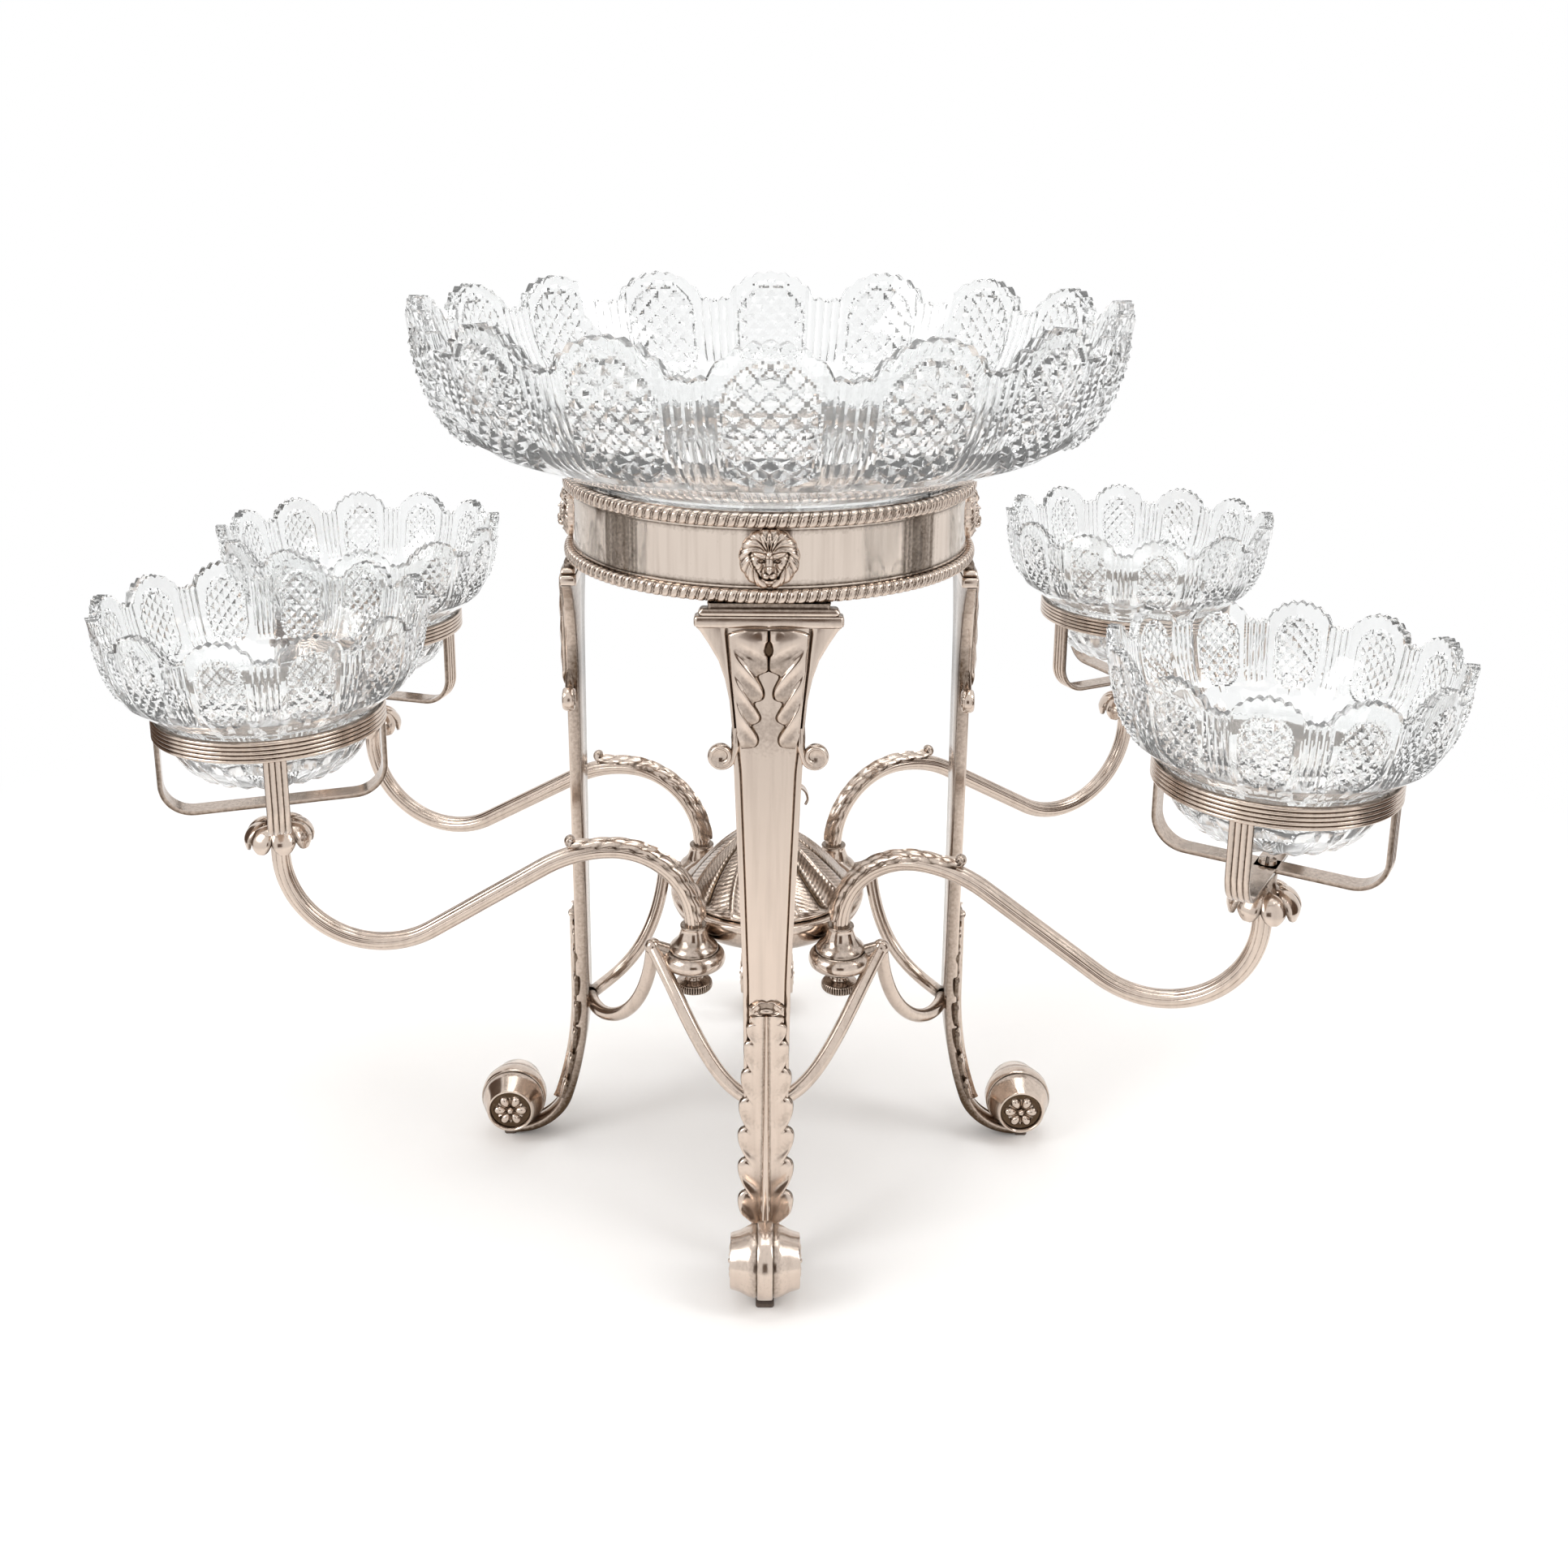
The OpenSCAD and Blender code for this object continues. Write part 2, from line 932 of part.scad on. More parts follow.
module thumbscrew() {
  top = socket_z - 2.7;
  union() {
    translate([0, 0, top - 0.1])
      cylinder(r = 2, h = 7, $fn = 32);
    translate([0, 0, top - 4.8])
      cylinder(r = 4, h = 4.7, $fn = 32);
    difference() {
      translate([0, 0, top - 8.4])
        cylinder(r = 6.9, h = 3.6, $fn = 48);
      for (a = [0:30:330])
        rotate([0, 0, a])
          translate([7.4, 0, top - 9])
            cylinder(r = 0.9, h = 5, $fn = 16);
    }
  }
}

module thumbscrew_fl() {
  color(silver)
    placed()
      at_fl()
        thumbscrew();
}

module thumbscrew_fr() {
  color(silver)
    placed()
      at_fr()
        thumbscrew();
}

module thumbscrew_br() {
  color(silver)
    placed()
      at_br()
        thumbscrew();
}

module thumbscrew_bl() {
  color(silver)
    placed()
      at_bl()
        thumbscrew();
}

// holders: a reeded ring on two crossed straps
module tray(w, z, r) {
  union() {
    translate([-w, z + r])
      square([2 * w, 60]);
    translate([-w + r, z])
      square([2 * w - 2 * r, 60]);
    for (s = [-1, 1])
      translate([s * (w - r), z + r])
        circle(r = r, $fn = 48);
  }
}

module holder_strap() {
  low = holder_top - holder_h + 0.5;
  rotate([90, 0, 0])
    linear_extrude(height = holder_w, center = true)
      difference() {
        tray(holder_r + 1.4, holder_z - 0.95, 12);
        tray(holder_r - 0.5, holder_z + 0.95, 10.1);
        translate([-60, low])
          square([120, 100]);
      }
}

module holder(set) {
  translate([arm_l, 0, 0])
    rotate([0, 0, set])
      difference() {
        union() {
          rotate_extrude($fn = 96)
            union() {
              translate([holder_r, holder_top - holder_h])
                square([1.3, holder_h]);
              for (i = [0:2])
                translate([holder_r + 0.9, holder_top - holder_h / 6 - holder_h * i / 3])
                  circle(r = holder_h / 6, $fn = 24);
            }
          holder_strap();
          rotate([0, 0, 90])
            holder_strap();
        }
        translate([0, 0, holder_z - 5])
          cylinder(r = 1.56, h = 10, $fn = 32);
      }
}

module holder_fl() {
  color(silver)
    placed()
      at_fl()
        rotate([0, 0, turn_fl])
          holder(set_fl);
}

module holder_fr() {
  color(silver)
    placed()
      at_fr()
        rotate([0, 0, turn_fr])
          holder(set_fr);
}

module holder_br() {
  color(silver)
    placed()
      at_br()
        rotate([0, 0, turn_br])
          holder(set_br);
}

module holder_bl() {
  color(silver)
    placed()
      at_bl()
        rotate([0, 0, turn_bl])
          holder(set_bl);
}

module holder_screw() {
  head = holder_z + 1.05;
  translate([arm_l, 0, 0])
    difference() {
      union() {
        translate([0, 0, spigot_end - 7])
          cylinder(r = 1.5, h = head - spigot_end + 7.5, $fn = 32);
        translate([0, 0, head])
          cylinder(r = 3.1, h = 1.6, $fn = 32);
      }
      translate([-0.4, -5, head + 0.8])
        cube([0.8, 10, 3]);
    }
}

module holder_screw_fl() {
  color(silver)
    placed()
      at_fl()
        rotate([0, 0, turn_fl])
          holder_screw();
}

module holder_screw_fr() {
  color(silver)
    placed()
      at_fr()
        rotate([0, 0, turn_fr])
          holder_screw();
}

module holder_screw_br() {
  color(silver)
    placed()
      at_br()
        rotate([0, 0, turn_br])
          holder_screw();
}

module holder_screw_bl() {
  color(silver)
    placed()
      at_bl()
        rotate([0, 0, turn_bl])
          holder_screw();
}

// bowls: the rim is cut into round petals
module petal_gaps(n, r, tip, drop, flat) {
  pitch = 2 * 180 / n;
  half = r * tan(pitch / 2);
  chord = half - flat / 2;
  round_r = (chord * chord + drop * drop) / (2 * drop);
  for (i = [0:n - 1])
    rotate([0, 0, pitch * (i + 0.5)])
      outwards(r * 0.6, r * 1.2)
        difference() {
          translate([-half, tip - drop])
            square([2 * half, drop + 5]);
          for (s = [-1, 1])
            translate([s * half, tip - round_r])
              circle(r = round_r, $fn = 64);
        }
}

// a line up the outside of a bowl, moved into the glass by a depth
function sunk(line, depth) = [for (i = [0:len(line) - 1])
  let (run = line[min(i + 1, len(line) - 1)] - line[max(i - 1, 0)])
  line[i] + depth / norm(run) * [-run[1], run[0]]];

// the sunk panel on each petal and the sunk strip between two petals, at the middle depth of the cutting
module cut_zones(n, line, depth, panel_w, strip_w) {
  pitch = 360 / n;
  low = line[0];
  high = line[len(line) - 1];
  lean = atan((high[0] - low[0]) / (high[1] - low[1]));
  mid = (low + high) / 2;
  straight = norm(high - low) - panel_w - 4;
  back = sunk(line, depth);
  front = sunk(line, -4);
  intersection() {
    rotate_extrude($fn = 96)
      polygon(concat(back, [for (i = [len(front) - 1:-1:0]) front[i]]));
    union() {
      for (i = [0:n - 1])
        rotate([0, 0, pitch * i])
          translate([mid[0], 0, mid[1]])
            rotate([0, 90 + lean, 0])
              translate([0, 0, -10])
                linear_extrude(height = 30)
                  union() {
                    square([straight, panel_w], center = true);
                    for (s = [-1, 1])
                      translate([s * straight / 2, 0])
                        circle(r = panel_w / 2, $fn = 48);
                  }
      for (i = [0:n - 1])
        rotate([0, 0, pitch * (i + 0.5)])
          translate([low[0] - 12, -strip_w / 2, low[1] + 1.5])
            cube([60, strip_w, 60]);
    }
  }
}

module centre_bowl() {
  r = big_r;
  z = seat_z + 0.2;
  fit = band_in - bowl_gap;
  under = [[0, z], [big_foot, z], [big_foot + 2, z + 1], [fit - 3.7, z + 11], [fit - 0.4, lip_z - 3.4],
    [fit, lip_z], [fit + 3.3, lip_z + 1.6], [r - 40, lip_z + 7], [r - 28, lip_z + 11.6],
    [r - 25.4, lip_z + 13]];
  petal = [[r - 22, lip_z + 15], [r - 15, lip_z + 19.6], [r - 8.8, lip_z + 29.4],
    [r - 4.1, big_tip - 18.2], [r, big_tip]];
  inside = [[r - big_wall, big_tip], [r - big_wall - 4.5, big_tip - 18], [r - 15, lip_z + 33],
    [r - 21.5, lip_z + 24.5], [r - 30, lip_z + 19.2], [r - 42, lip_z + 14.2], [fit + 2.3, lip_z + 8.4],
    [fit - 3.7, lip_z + 4], [fit - 6.3, lip_z - 4.4], [big_foot, z + 7.4], [0, z + 6.4]];
  color(glass)
    placed()
      difference() {
        rotate_extrude($fn = 96)
          polygon(concat(under, petal, inside));
        petal_gaps(big_n, r, big_tip, 11, 11);
        cut_zones(big_n, petal, big_cut, 23.5, 13.6);
      }
}

module bowl() {
  r = small_r;
  z = small_z;
  under = [[0, z], [19, z], [26, z + 2], [32.4, z + 9], [36.3, z + 18], [holder_r - 0.3, holder_top],
    [holder_r + 3.4, holder_top + 2.6], [r - 11, holder_top + 7]];
  petal = [[r - 8.8, holder_top + 8.5], [r - 5.2, holder_top + 15], [r - 2.6, holder_top + 23.5],
    [r, small_tip]];
  inside = [[r - small_wall, small_tip], [r - small_wall - 2.8, holder_top + 24], [r - 9.8, holder_top + 16],
    [r - 14, holder_top + 10.4], [r - 19.5, holder_top + 6], [33.4, holder_top], [30, z + 13], [24, z + 7],
    [18, z + 5.4], [0, z + 5]];
  translate([arm_l, 0, 0])
    difference() {
      rotate_extrude($fn = 96)
        polygon(concat(under, petal, inside));
      petal_gaps(small_n, r, small_tip, 7, 6.5);
      cut_zones(small_n, petal, small_cut, 15, 8.4);
    }
}

module bowl_fl() {
  color(glass)
    placed()
      at_fl()
        rotate([0, 0, turn_fl])
          bowl();
}

module bowl_fr() {
  color(glass)
    placed()
      at_fr()
        rotate([0, 0, turn_fr])
          bowl();
}

module bowl_br() {
  color(glass)
    placed()
      at_br()
        rotate([0, 0, turn_br])
          bowl();
}

module bowl_bl() {
  color(glass)
    placed()
      at_bl()
        rotate([0, 0, turn_bl])
          bowl();
}

ring_band();
upper_border();
lower_border();
bowl_seat();
lion_masks();
leg_front();
leg_right();
leg_back();
leg_left();
leg_capitals();
capital_leaves();
leg_leaves();
foot_front();
foot_right();
foot_back();
foot_left();
foot_rosettes();
foot_pads();
bracket_fl();
bracket_fr();
bracket_br();
bracket_bl();
socket_fl();
socket_fr();
socket_br();
socket_bl();
hub_pan();
hub_dome();
hub_finial();
arm_fl();
arm_fr();
arm_br();
arm_bl();
ferrule_fl();
ferrule_fr();
ferrule_br();
ferrule_bl();
calyx_fl();
calyx_fr();
calyx_br();
calyx_bl();
thumbscrew_fl();
thumbscrew_fr();
thumbscrew_br();
thumbscrew_bl();
holder_fl();
holder_fr();
holder_br();
holder_bl();
holder_screw_fl();
holder_screw_fr();
holder_screw_br();
holder_screw_bl();
centre_bowl();
bowl_fl();
bowl_fr();
bowl_br();
bowl_bl();
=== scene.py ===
# %% [markdown]
# # A silver epergne with cut-glass bowls
# An epergne is a table centrepiece: a ring on four legs carries one large bowl, and four swivelling
# arms carry small ones. The CAD model gives every place and joint. Here each node gets the surface
# that a silversmith or a glass cutter would give it. Such surfaces could be sculpted by hand; they
# are drawn as nets of points with numpy, because then every size stays a number that can be changed.

# %% Load the frame
import math

import bmesh
import bpy
import numpy as np
from mathutils import Matrix, Vector


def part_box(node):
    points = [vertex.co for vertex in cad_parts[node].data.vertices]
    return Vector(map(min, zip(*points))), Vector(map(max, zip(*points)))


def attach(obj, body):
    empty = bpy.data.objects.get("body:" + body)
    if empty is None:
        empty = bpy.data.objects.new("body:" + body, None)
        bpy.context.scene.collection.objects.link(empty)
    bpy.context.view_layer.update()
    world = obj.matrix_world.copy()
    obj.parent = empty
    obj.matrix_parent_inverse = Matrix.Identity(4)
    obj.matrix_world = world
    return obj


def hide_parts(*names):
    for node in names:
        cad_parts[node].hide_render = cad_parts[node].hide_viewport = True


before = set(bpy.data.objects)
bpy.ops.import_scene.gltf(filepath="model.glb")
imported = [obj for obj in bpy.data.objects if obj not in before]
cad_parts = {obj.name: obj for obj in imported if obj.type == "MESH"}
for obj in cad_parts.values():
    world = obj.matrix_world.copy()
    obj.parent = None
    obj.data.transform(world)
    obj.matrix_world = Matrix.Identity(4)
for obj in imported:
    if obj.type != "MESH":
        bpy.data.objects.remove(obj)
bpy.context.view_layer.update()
print("CAD nodes:", len(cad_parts))

# %% [markdown]
# ## Sizes
# All lengths are millimetres, as in the CAD model, and become metres only when a mesh is made.
# Sizes and places could be typed in again, but they come from the boxes of the CAD nodes, so that
# nothing has to be fitted by eye.

# %% Sizes from the frame
MM = 0.001


def span(node):
    """The lowest and highest corner of a CAD node in millimetres."""
    low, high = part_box(node)
    return np.array(low) / MM, np.array(high) / MM


def middle(node):
    low, high = span(node)
    return (low + high) / 2


def half_size(node):
    low, high = span(node)
    return (high - low) / 2


axis = middle("ring_band")[:2]
ring_r = half_size("upper_border")[0]
band_r = half_size("ring_band")[0]
border_h = 2.35
ring_top = span("upper_border")[1][2] - border_h
ring_low = span("lower_border")[0][2] + border_h
print("ring radius", round(ring_r, 1), "from", round(ring_low, 1), "to", round(ring_top, 1))

# %% [markdown]
# ## Places
# The stand has four equal legs and four equal arms. Each is drawn once, about the z axis, and a
# matrix takes it to its place. The arms point where the boxes of the small bowls say.

# %% Places of legs and arms
CORNERS = ("fl", "fr", "br", "bl")
LEGS = {"front": 270, "right": 0, "back": 90, "left": 180}


def placed(x=0.0, y=0.0, turn=0.0):
    """Moves a piece that is drawn about the z axis to a place beside the stand's axis."""
    spot = Vector(((axis[0] + x) * MM, (axis[1] + y) * MM, 0))
    return Matrix.Translation(spot) @ Matrix.Rotation(math.radians(turn), 4, "Z")


leg_place = {name: placed(turn=turn) for name, turn in LEGS.items()}
socket_place = {}
arm_place = {}
for corner in CORNERS:
    spot = middle("socket_" + corner)[:2] - axis
    reach = middle("bowl_" + corner)[:2] - axis - spot
    arm_l = float(np.hypot(*reach))
    socket_place[corner] = placed(*spot)
    arm_place[corner] = placed(*spot, math.degrees(math.atan2(reach[1], reach[0])))
print("arm reach", round(arm_l, 1))

# %% [markdown]
# ## Nets of points
# Nearly every piece here is a net of points in rows and columns: a turned shape, a drawn tube or a chased
# leaf. Modifiers could make some of them, but a net lets every row and column be moved. Each point also
# keeps a value of tarnish and painted shade: 0 on a rubbed edge, 1 in a hollow or where shade is painted
# in.

# %% Tubes and turned shapes


def circle(count):
    """Angles evenly round a circle, in radians."""
    return np.linspace(0, 2 * np.pi, count, endpoint=False)


def net(rows, columns):
    """Four-sided faces of a net of points whose last column joins the first."""
    row = np.arange(rows - 1)[:, None] * columns
    column = np.arange(columns)[None, :]
    after = (column + 1) % columns
    corners = (row + column, row + after, row + columns + after, row + columns + column)
    return np.stack(corners, -1).reshape(-1, 4)


def tube(points, tarnish=0.0, capped=True):
    """A net that closes on itself across its columns; capped gives it flat ends."""
    rows, columns = points.shape[:2]
    shade = np.broadcast_to(tarnish, (rows, columns)).ravel()
    flat = points.reshape(-1, 3)
    faces = [net(rows, columns)]
    if capped:
        column = np.arange(columns)
        after = (column + 1) % columns
        last = (rows - 1) * columns
        first_fan = np.stack([after, column, np.full(columns, len(flat))], 1)
        last_fan = np.stack([last + column, last + after, np.full(columns, len(flat) + 1)], 1)
        faces.append(np.vstack([first_fan, last_fan]))
        flat = np.vstack([flat, points[0].mean(0), points[-1].mean(0)])
        shade = np.concatenate([shade, [shade[0], shade[-1]]])
    return flat, faces, shade


def turned(radius, height, angle):
    """Points of a profile turned about the z axis; radius and height may change with the angle."""
    profile = [np.asarray(values, float) for values in (radius, height)]
    profile = [values[:, None] if values.ndim == 1 else values for values in profile]
    radius, height, angle = np.broadcast_arrays(*profile, angle[None, :])
    return np.stack([radius * np.cos(angle), radius * np.sin(angle), height], -1)


print("faces in a net of 3 rows and 8 columns:", len(net(3, 8)))

# %% [markdown]
# ## Lines
# A profile or a path is given by a few points that were measured in the CAD model or the photograph.
# A Blender curve could go through them. Here a short formula does, because its points are needed as
# numbers.

# %% Lines through points


def smooth(points, count):
    """A round line through a few points, given as count points."""
    p = np.asarray(points, float)
    p = np.vstack([2 * p[0] - p[1], p, 2 * p[-1] - p[-2]])
    t = np.linspace(0, len(p) - 3 - 1e-9, count)
    i = t.astype(int)
    f = (t - i)[:, None]
    a, b, c, d = p[i], p[i + 1], p[i + 2], p[i + 3]
    cubic = (3 * b - a - 3 * c + d) * f**3
    return 0.5 * (2 * b + (c - a) * f + (2 * a - 5 * b + 4 * c - d) * f**2 + cubic)


def distances(points):
    """How far each point of a line is from its start, along the line."""
    return np.concatenate([[0], np.cumsum(np.linalg.norm(np.diff(points, axis=0), axis=1))])


def evenly(points, count):
    """The same line with its points evenly spaced along its length."""
    along = distances(points)
    want = np.linspace(0, along[-1], count)
    return np.stack([np.interp(want, along, points[:, k]) for k in range(points.shape[1])], 1)


def ahead_of(path):
    """The direction of a line at each of its points."""
    ahead = np.gradient(path, axis=0)
    return ahead / np.linalg.norm(ahead, axis=1, keepdims=True)


def left_of(path):
    """The direction to the left of a flat line at each of its points."""
    ahead = ahead_of(path)
    return np.stack([-ahead[:, 1], ahead[:, 0]], 1)


def beside(path, lift):
    """Points that stand off a flat line to its left by lift, as two arrays: across and up."""
    left = left_of(path)
    return path[:, 0:1] + lift * left[:, 0:1], path[:, 1:2] + lift * left[:, 1:2]


print("a smooth corner:", smooth([(0, 0), (10, 0), (10, 10)], 5).round(1).tolist())

# %% [markdown]
# ## Pieces
# A part is its points, its faces and the tarnish and painted shade of each point. Blender could add up
# objects with a join, but parts are joined while they are still numbers, which is quick. A mesh is made
# from a part, and a piece is a mesh in its place, on its body, instead of its CAD node.

# %% From parts to pieces


def joined(*parts):
    """Several parts as one set of points, faces and tarnish with painted shade."""
    starts = np.cumsum([0] + [len(part[0]) for part in parts])
    faces = [face + start for part, start in zip(parts, starts) for face in part[1]]
    return np.vstack([part[0] for part in parts]), faces, np.concatenate([part[2] for part in parts])


def moved(part, matrix):
    """A part turned and shifted by a four by four matrix in millimetres."""
    m = np.array(matrix)
    return part[0] @ m[:3, :3].T + m[:3, 3], part[1], part[2]


def mesh_of(name, part, material, crease=40):
    """A Blender mesh from a part; edges sharper than crease degrees stay sharp."""
    points, faces, shade = part
    mesh = bpy.data.meshes.new(name)
    mesh.vertices.add(len(points))
    mesh.vertices.foreach_set("co", (points * MM).astype(np.float32).ravel())
    sizes = np.concatenate([np.full(len(f), f.shape[1]) for f in faces])
    starts = np.concatenate([[0], np.cumsum(sizes)[:-1]])
    corners = np.concatenate([f.ravel() for f in faces])
    mesh.loops.add(len(corners))
    mesh.polygons.add(len(sizes))
    mesh.polygons.foreach_set("loop_start", starts.astype(np.int32))
    mesh.polygons.foreach_set("vertices", corners.astype(np.int32))
    mesh.update(calc_edges=True)
    mesh.validate()
    net_mesh = bmesh.new()
    net_mesh.from_mesh(mesh)
    bmesh.ops.recalc_face_normals(net_mesh, faces=net_mesh.faces)
    net_mesh.to_mesh(mesh)
    net_mesh.free()
    mesh.polygons.foreach_set("use_smooth", np.ones(len(mesh.polygons), bool))
    mesh.set_sharp_from_angle(angle=math.radians(crease))
    values = mesh.attributes.new("tarnish", "FLOAT", "POINT")
    values.data.foreach_set("value", np.clip(shade, 0, 1).astype(np.float32))
    mesh.materials.append(material)
    print(name + ":", len(mesh.polygons), "faces")
    return mesh


pieces = []


def piece(name, mesh, place, body, node):
    """Puts a mesh in its place, on its body, instead of its CAD node."""
    obj = bpy.data.objects.new(name, mesh)
    bpy.context.scene.collection.objects.link(obj)
    obj.matrix_world = place
    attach(obj, body)
    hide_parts(node)
    pieces.append(name)


def on_each_leg(prefix, mesh, node):
    """One piece for each leg; a node whose name ends in a low line has one for each leg too."""
    for name, place in leg_place.items():
        own_node = node + name if node.endswith("_") else node
        piece(prefix + name, mesh, place, "stand", own_node)


def on_each_arm(prefix, mesh, body, node):
    """One piece for each arm, with its own body and node."""
    for corner in CORNERS:
        piece(prefix + corner, mesh, arm_place[corner], body + corner, node + corner)


print("legs:", len(leg_place), "arms:", len(arm_place))

# %% [markdown]
# ## Finishes
# Three materials cover the object: silver that was hammered, chased and polished by hand, lead
# crystal that was blown, then cut and polished on wheels, and felt under the feet. Pictures of real
# surfaces could be laid on; node trees are used, so that each pattern has its size in millimetres.

# %% Colour and node helpers


def linear(colour):
    """An sRGB hex colour as linear red, green, blue and alpha."""
    parts = [int(colour[i : i + 2], 16) / 255 for i in (1, 3, 5)]
    return [c / 12.92 if c <= 0.04045 else ((c + 0.055) / 1.055) ** 2.4 for c in parts] + [1.0]


def add(tree, kind, settings=None, values=None, links=None):
    """Adds a node, sets its properties and sockets, and links other nodes' outputs to its inputs."""
    node = tree.nodes.new(kind)
    for key, value in (settings or {}).items():
        setattr(node, key, value)
    for key, value in (values or {}).items():
        node.inputs[key].default_value = value
    for key, source in (links or {}).items():
        tree.links.new(source, node.inputs[key])
    return node


def fresh(name):
    """A material with an empty node tree, and that tree."""
    material = bpy.data.materials.new(name)
    material.use_nodes = True
    material.node_tree.nodes.clear()
    return material, material.node_tree


print("middle grey in linear light:", round(linear("#808080")[0], 3))

# %% [markdown]
# ### Hand-polished old silver
# Sterling silver two centuries old is warm, a little rosy, and never evenly bright: polishing leaves fine
# lines, and brown tarnish stays in the hollows and along the joints. One plain colour would look new, so
# the colour goes from bright to brown by the value of each point, which holds both that tarnish and painted
# shade, broken up by noise. Dull upright streaks are painted in as well, a painted reflection of the soft
# streaks that a polished panel shows. The hoop is the same silver, burnished: it is smoother and shows the
# room more clearly.

# %% Silver


def polished_silver(name, bright, brown, rough, strength):
    """Warm mirror-like metal; strength is how far the brown covers it where the value of tarnish and
    painted shade is full.
    """
    material, tree = fresh(name)
    place = add(tree, "ShaderNodeTexCoord").outputs["Object"]
    # Specks of tarnish about a millimetre wide break up the edge of each patch of tarnish and painted
    # shade.
    speck_mm = 1.1
    specks = add(tree, "ShaderNodeTexNoise", values={"Scale": 1000 / speck_mm, "Detail": 2.0},
                 links={"Vector": place})
    # The value holds tarnish in the hollows and also painted shade: dark outlines round leaves, shade below
    # them and dark bands painted on the hoop for its reflections.
    hollow = add(tree, "ShaderNodeAttribute", {"attribute_name": "tarnish"})
    broken = add(tree, "ShaderNodeMath", {"operation": "MULTIPLY_ADD"}, {1: 0.5},
                 {0: specks.outputs["Fac"], 2: hollow.outputs["Fac"]})
    darkening = add(tree, "ShaderNodeMapRange",
                values={"From Min": 0.38, "From Max": 1.15, "To Max": strength},
                links={"Value": broken.outputs[0]})
    # Painted reflection: dull upright streaks some millimetres wide are painted into the colour, for the
    # soft streaks that a polished panel reflects.
    painted_streak_mm = 2.6
    upright = add(tree, "ShaderNodeMapping", values={"Scale": (1.0, 1.0, 0.05)}, links={"Vector": place})
    painted_streak_noise = add(tree, "ShaderNodeTexNoise", values={"Scale": 1000 / painted_streak_mm, "Detail": 2.0},
               links={"Vector": upright.outputs[0]})
    painted_streak_amount = add(tree, "ShaderNodeMapRange",
                 values={"From Min": 0.45, "From Max": 0.75, "To Max": 0.22},
                 links={"Value": painted_streak_noise.outputs["Fac"]})
    painted_streak_colour = add(tree, "ShaderNodeMix", {"data_type": "RGBA"},
                 {6: linear(bright), 7: linear("#8E7C70")}, {0: painted_streak_amount.outputs[0]})
    colour = add(tree, "ShaderNodeMix", {"data_type": "RGBA"}, {7: linear(brown)},
                 {0: darkening.outputs[0], 6: painted_streak_colour.outputs[2]})
    # Fingers behind the cloth press unevenly: patches as wide as a fingertip change the sharpness.
    patch_mm = 8.0
    patches = add(tree, "ShaderNodeTexNoise", values={"Scale": 1000 / patch_mm, "Detail": 3.0},
                  links={"Vector": place})
    gloss = add(tree, "ShaderNodeMapRange",
                values={"From Min": 0.3, "From Max": 0.7, "To Min": rough, "To Max": rough + 0.1},
                links={"Value": patches.outputs["Fac"]})
    # Polishing lines are hundredths of a millimetre wide; these are as coarse as they need to show.
    streak_mm = 0.6
    stretch = add(tree, "ShaderNodeMapping", values={"Scale": (1.0, 1.0, 0.08)}, links={"Vector": place})
    streaks = add(tree, "ShaderNodeTexNoise", values={"Scale": 1000 / streak_mm, "Detail": 2.0},
                  links={"Vector": stretch.outputs[0]})
    dents = add(tree, "ShaderNodeBump", values={"Strength": 0.03, "Distance": 0.0002},
                links={"Height": streaks.outputs["Fac"]})
    metal = add(tree, "ShaderNodeBsdfPrincipled", values={"Metallic": 1.0},
                links={"Base Color": colour.outputs[2], "Roughness": gloss.outputs[0],
                       "Normal": dents.outputs[0]})
    add(tree, "ShaderNodeOutputMaterial", links={"Surface": metal.outputs[0]})
    return material


silver = polished_silver("hand_polished_old_silver", "#D3C3B6", "#46331F", 0.13, 0.95)
hoop_silver = polished_silver("burnished_silver_hoop", "#DDCFC3", "#46331F", 0.06, 0.9)
print("metals:", silver.name, hoop_silver.name)

# %% [markdown]
# ### Wheel-cut lead crystal
# Lead crystal bends light more than window glass, with an index of about 1.54, so each cut facet
# shows another part of the room. It is nearly clear, with a trace of grey. A pattern of lines could
# stand for the cut, but only facets sparkle, so the cut is in the mesh and the glass stays plain.

# %% Crystal


def cut_crystal():
    """Clear glass with the soft waves, some millimetres wide, that blowing leaves on its surface."""
    material, tree = fresh("wheel_cut_lead_crystal")
    place = add(tree, "ShaderNodeTexCoord")
    wave_mm = 6.0
    waves = add(tree, "ShaderNodeTexNoise", values={"Scale": 1000 / wave_mm, "Detail": 1.0},
                links={"Vector": place.outputs["Object"]})
    ripple = add(tree, "ShaderNodeBump", values={"Strength": 0.04, "Distance": 0.001},
                 links={"Height": waves.outputs["Fac"]})
    glass = add(tree, "ShaderNodeBsdfPrincipled",
                values={"Base Color": linear("#FAFBFB"), "Roughness": 0.0, "IOR": 1.54,
                        "Transmission Weight": 0.94}, links={"Normal": ripple.outputs[0]})
    add(tree, "ShaderNodeOutputMaterial", links={"Surface": glass.outputs[0]})
    return material


crystal = cut_crystal()
print("glass:", crystal.name)

# %% [markdown]
# ### Pressed wool felt
# A small dark pad under each foot saves the table. It is wool pressed to a sheet: dull, with a fine
# fleck and a soft nap. Hair could be grown on it, but the pads are only millimetres wide, so noise
# is enough.

# %% Felt


